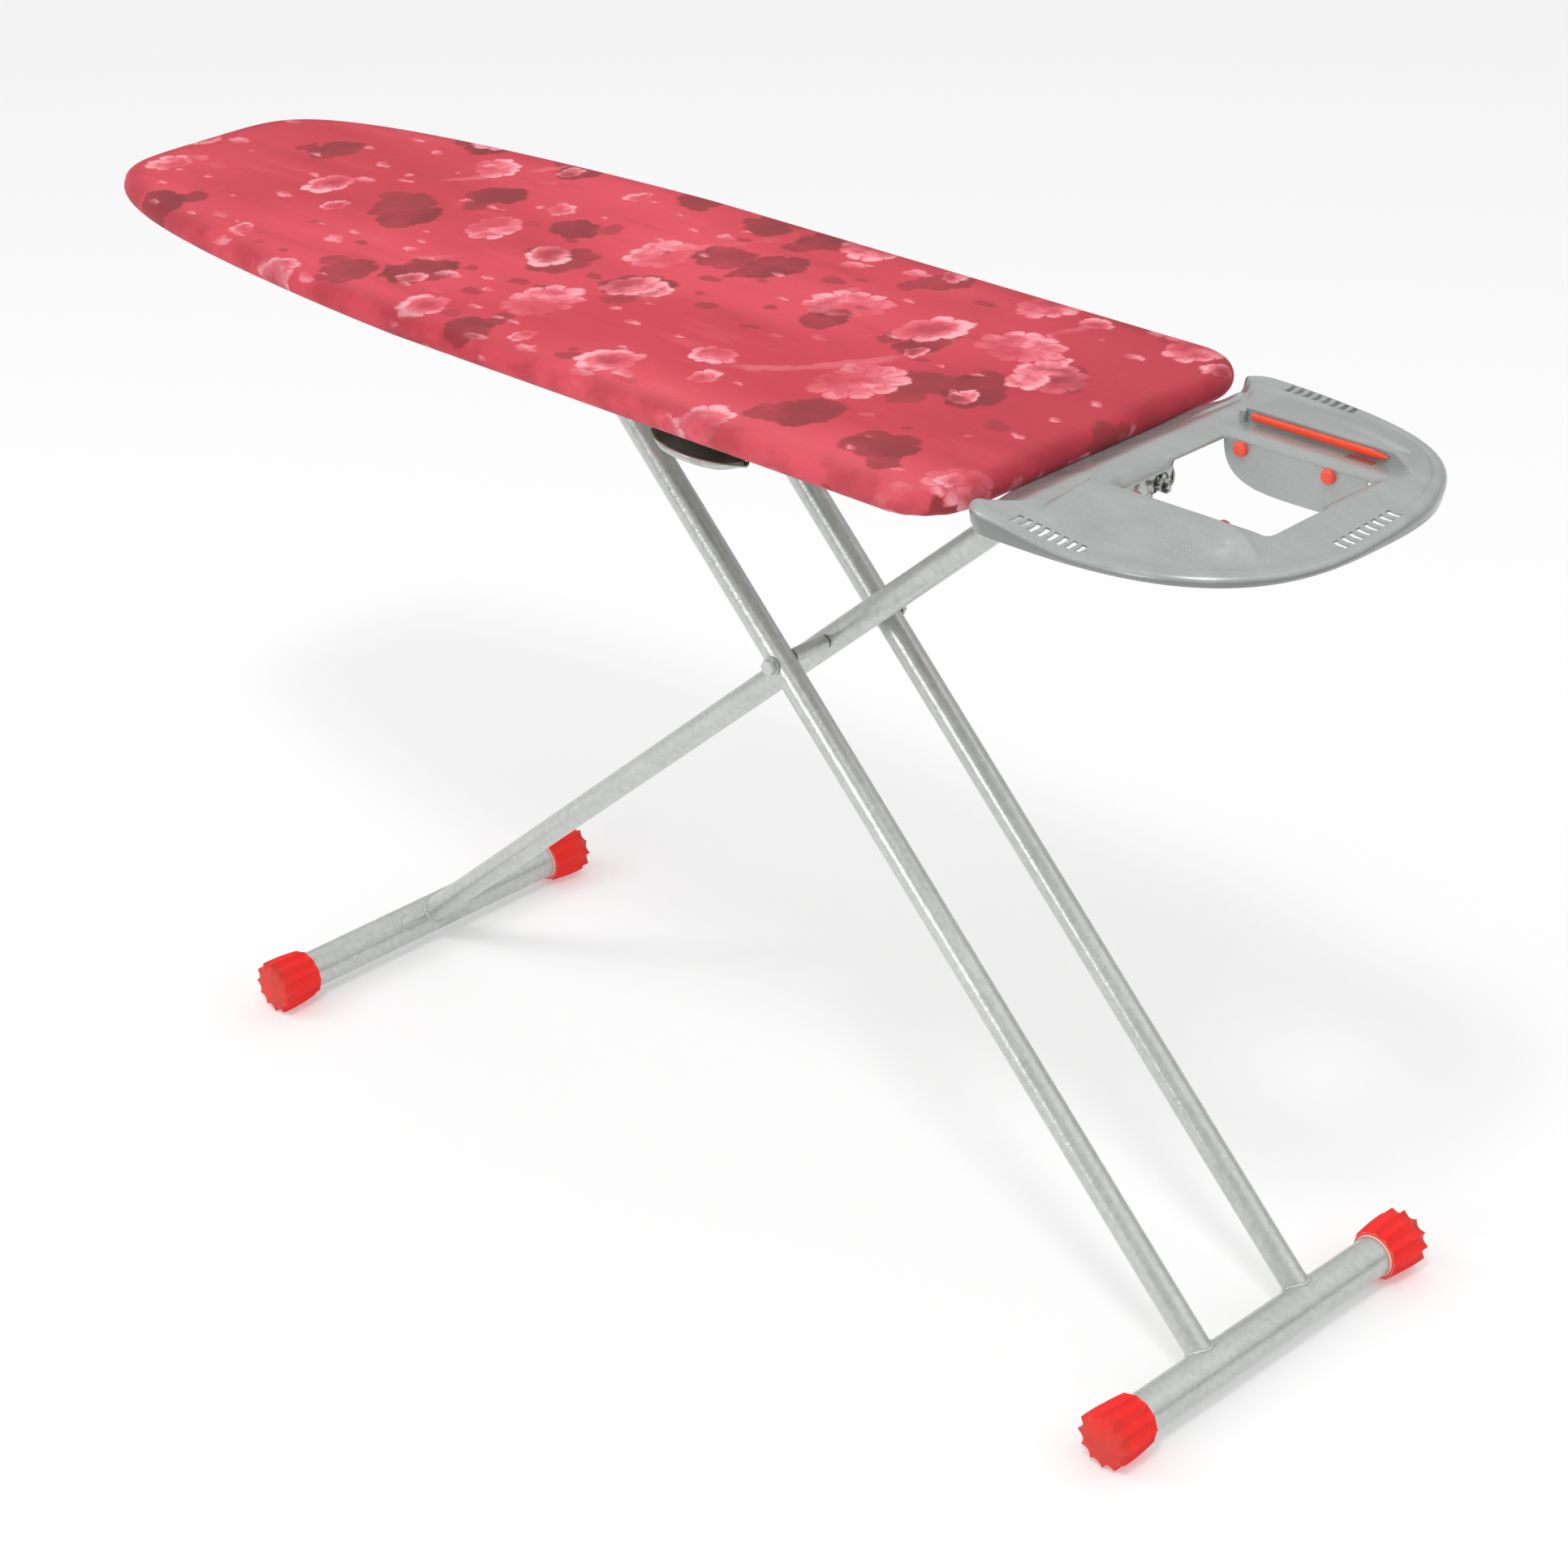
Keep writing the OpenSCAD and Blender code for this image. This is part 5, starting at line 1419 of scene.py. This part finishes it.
twin_low, twin_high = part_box("twin_leg_front")
LEG_RADIUS = (twin_high.y - twin_low.y) / 2
TWIN_Y = abs(middle("twin_leg_front")[1])
beads = [weld_bead(y, "twin_foot_bar", "locking_rod", LEG_RADIUS) for y in (-TWIN_Y, TWIN_Y)]
dress(joined("twin_leg_welds", beads), "twin_legs", "leg_paint")
dress(named(weld_bead(0, "single_foot_bar", "hinge_pin", LEG_RADIUS), "single_leg_weld"),
      "single_leg", "leg_paint")


def weld_scar(bar, centre_y):
    """A U-shaped run of weld on the bar beside the leg: a thin tube along an arc that is
    wrapped round the bar, place = (SCAR_ACROSS * cos a, SCAR_AROUND * sin a)."""
    bar_r = tube_radius(bar)
    a = np.linspace(0.45 * math.pi, 1.72 * math.pi, 60)
    around = SCAR_TURN + SCAR_AROUND * np.sin(a) / bar_r
    radial = np.stack([np.cos(around), np.zeros_like(a), np.sin(around)], 1)
    centre = middle(bar)
    centre[1] = centre_y
    path = centre + bar_r * radial
    path[:, 1] += SCAR_ACROSS * np.cos(a)
    fade = np.sqrt(np.sin(np.linspace(0, math.pi, 60)))
    return tube("scar", path, radial, SCAR_RADIUS * fade * (1 + 0.15 * np.sin(9 * a)), 10, False)


dress(named(weld_scar("single_foot_bar", -36 * MM), "single_bar_weld_scar"), "single_leg",
      "leg_paint")


# ---------------------------------------------------------------- the height lever

DISH_ARC = 116 * MM
CURL_RADIUS = 3.2 * MM
LEVER_SHEET = 1.4 * MM
EYE_GAP = 9 * MM


def make_lever():
    """A pressed plate on the lever's shaft. It runs flat from the shaft, dips in a dish
    and ends in a curled lip on an arc: point = (1 - s) * shaft side + s * arc, with the
    height falling as a smooth step of s."""
    low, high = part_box("height_lever")
    _, shaft_y, shaft_z = middle("lever_shaft")
    mid_x, half = (low.x + high.x) / 2, (high.x - low.x) / 2
    arc_y = low.y + DISH_ARC
    lip = CURL_RADIUS
    u = np.linspace(-1, 1, 61)
    s = np.linspace(0, 1, 26)
    across = half * u
    start_y = shaft_y - 4 * MM
    end_y = arc_y - np.sqrt((DISH_ARC - lip) ** 2 - across ** 2)
    y = start_y * (1 - s)[None] + end_y[:, None] * s[None]
    fall = smooth_step(s, 0.16, 0.92)
    end_dip = 1 - 0.35 * smooth_step(np.abs(u), 0.55, 1.0)
    drop = shaft_z - low.z - 2 * lip + 0.6 * MM
    z = shaft_z - drop * fall[None] * end_dip[:, None]
    a = np.linspace(0.0, 1.55 * math.pi, 14)[1:]
    curl_y = end_y[:, None] - lip * np.sin(a)[None]
    curl_z = z[:, -1:] - lip * (1 - np.cos(a))[None]
    y, z = np.hstack([y, curl_y]), np.hstack([z, curl_z])
    x = np.broadcast_to((mid_x + across)[:, None], y.shape)
    sheet = np.stack([x, y, z], 2)
    du, dv = np.gradient(sheet, axis=(0, 1))
    normal = np.cross(du, dv)
    normal /= np.linalg.norm(normal, axis=2, keepdims=True)
    above, below = sheet + LEVER_SHEET / 2 * normal, sheet - LEVER_SHEET / 2 * normal
    plate = surface("plate", np.concatenate([above, below[:, ::-1]], 1), False, True, 50)
    close_shell(plate)
    eye_r = high.z - shaft_z
    eye = np.array([(3.1, -1), (5.0, -1), (5.6, -0.985), (5.6, 0.985), (5.0, 1), (3.1, 1),
                    (3.1, -1)])
    parts = [plate]
    for x0, x1 in ((mid_x - half, mid_x - EYE_GAP), (mid_x + EYE_GAP, mid_x + half)):
        profile = np.stack([eye[:, 0] * MM * eye_r / (5.6 * MM), eye[:, 1] * (x1 - x0) / 2], 1)
        parts.append(lathed("eye", profile, ((x0 + x1) / 2, shaft_y, shaft_z), (1, 0, 0), 32))
    return joined("pressed_lever", parts)


dress(make_lever(), "height_lever", "lever_steel", "height_lever")


# ---------------------------------------------------------------- floor and finish

FLOOR_HALF = 80
FLOOR_PLAN = np.array([(-1, -1, 0), (1, -1, 0), (1, 1, 0), (-1, 1, 0)])


def make_floor():
    """A wide pale floor, which isn't part of the board."""
    points = FLOOR_HALF * FLOOR_PLAN
    floor = mesh_from("studio_floor", points - (0, 0, 0.2 * MM), np.array([[0, 1, 2, 3]]))
    paper = Finish("floor_paper", (0.70, 0.70, 0.70, 1), 0.9)
    paper.set("Specular IOR Level", 0.1)
    paper.set("Emission Color", (1, 1, 1, 1))
    paper.set("Emission Strength", 0.28)
    floor.data.materials.append(paper.material)


make_floor()
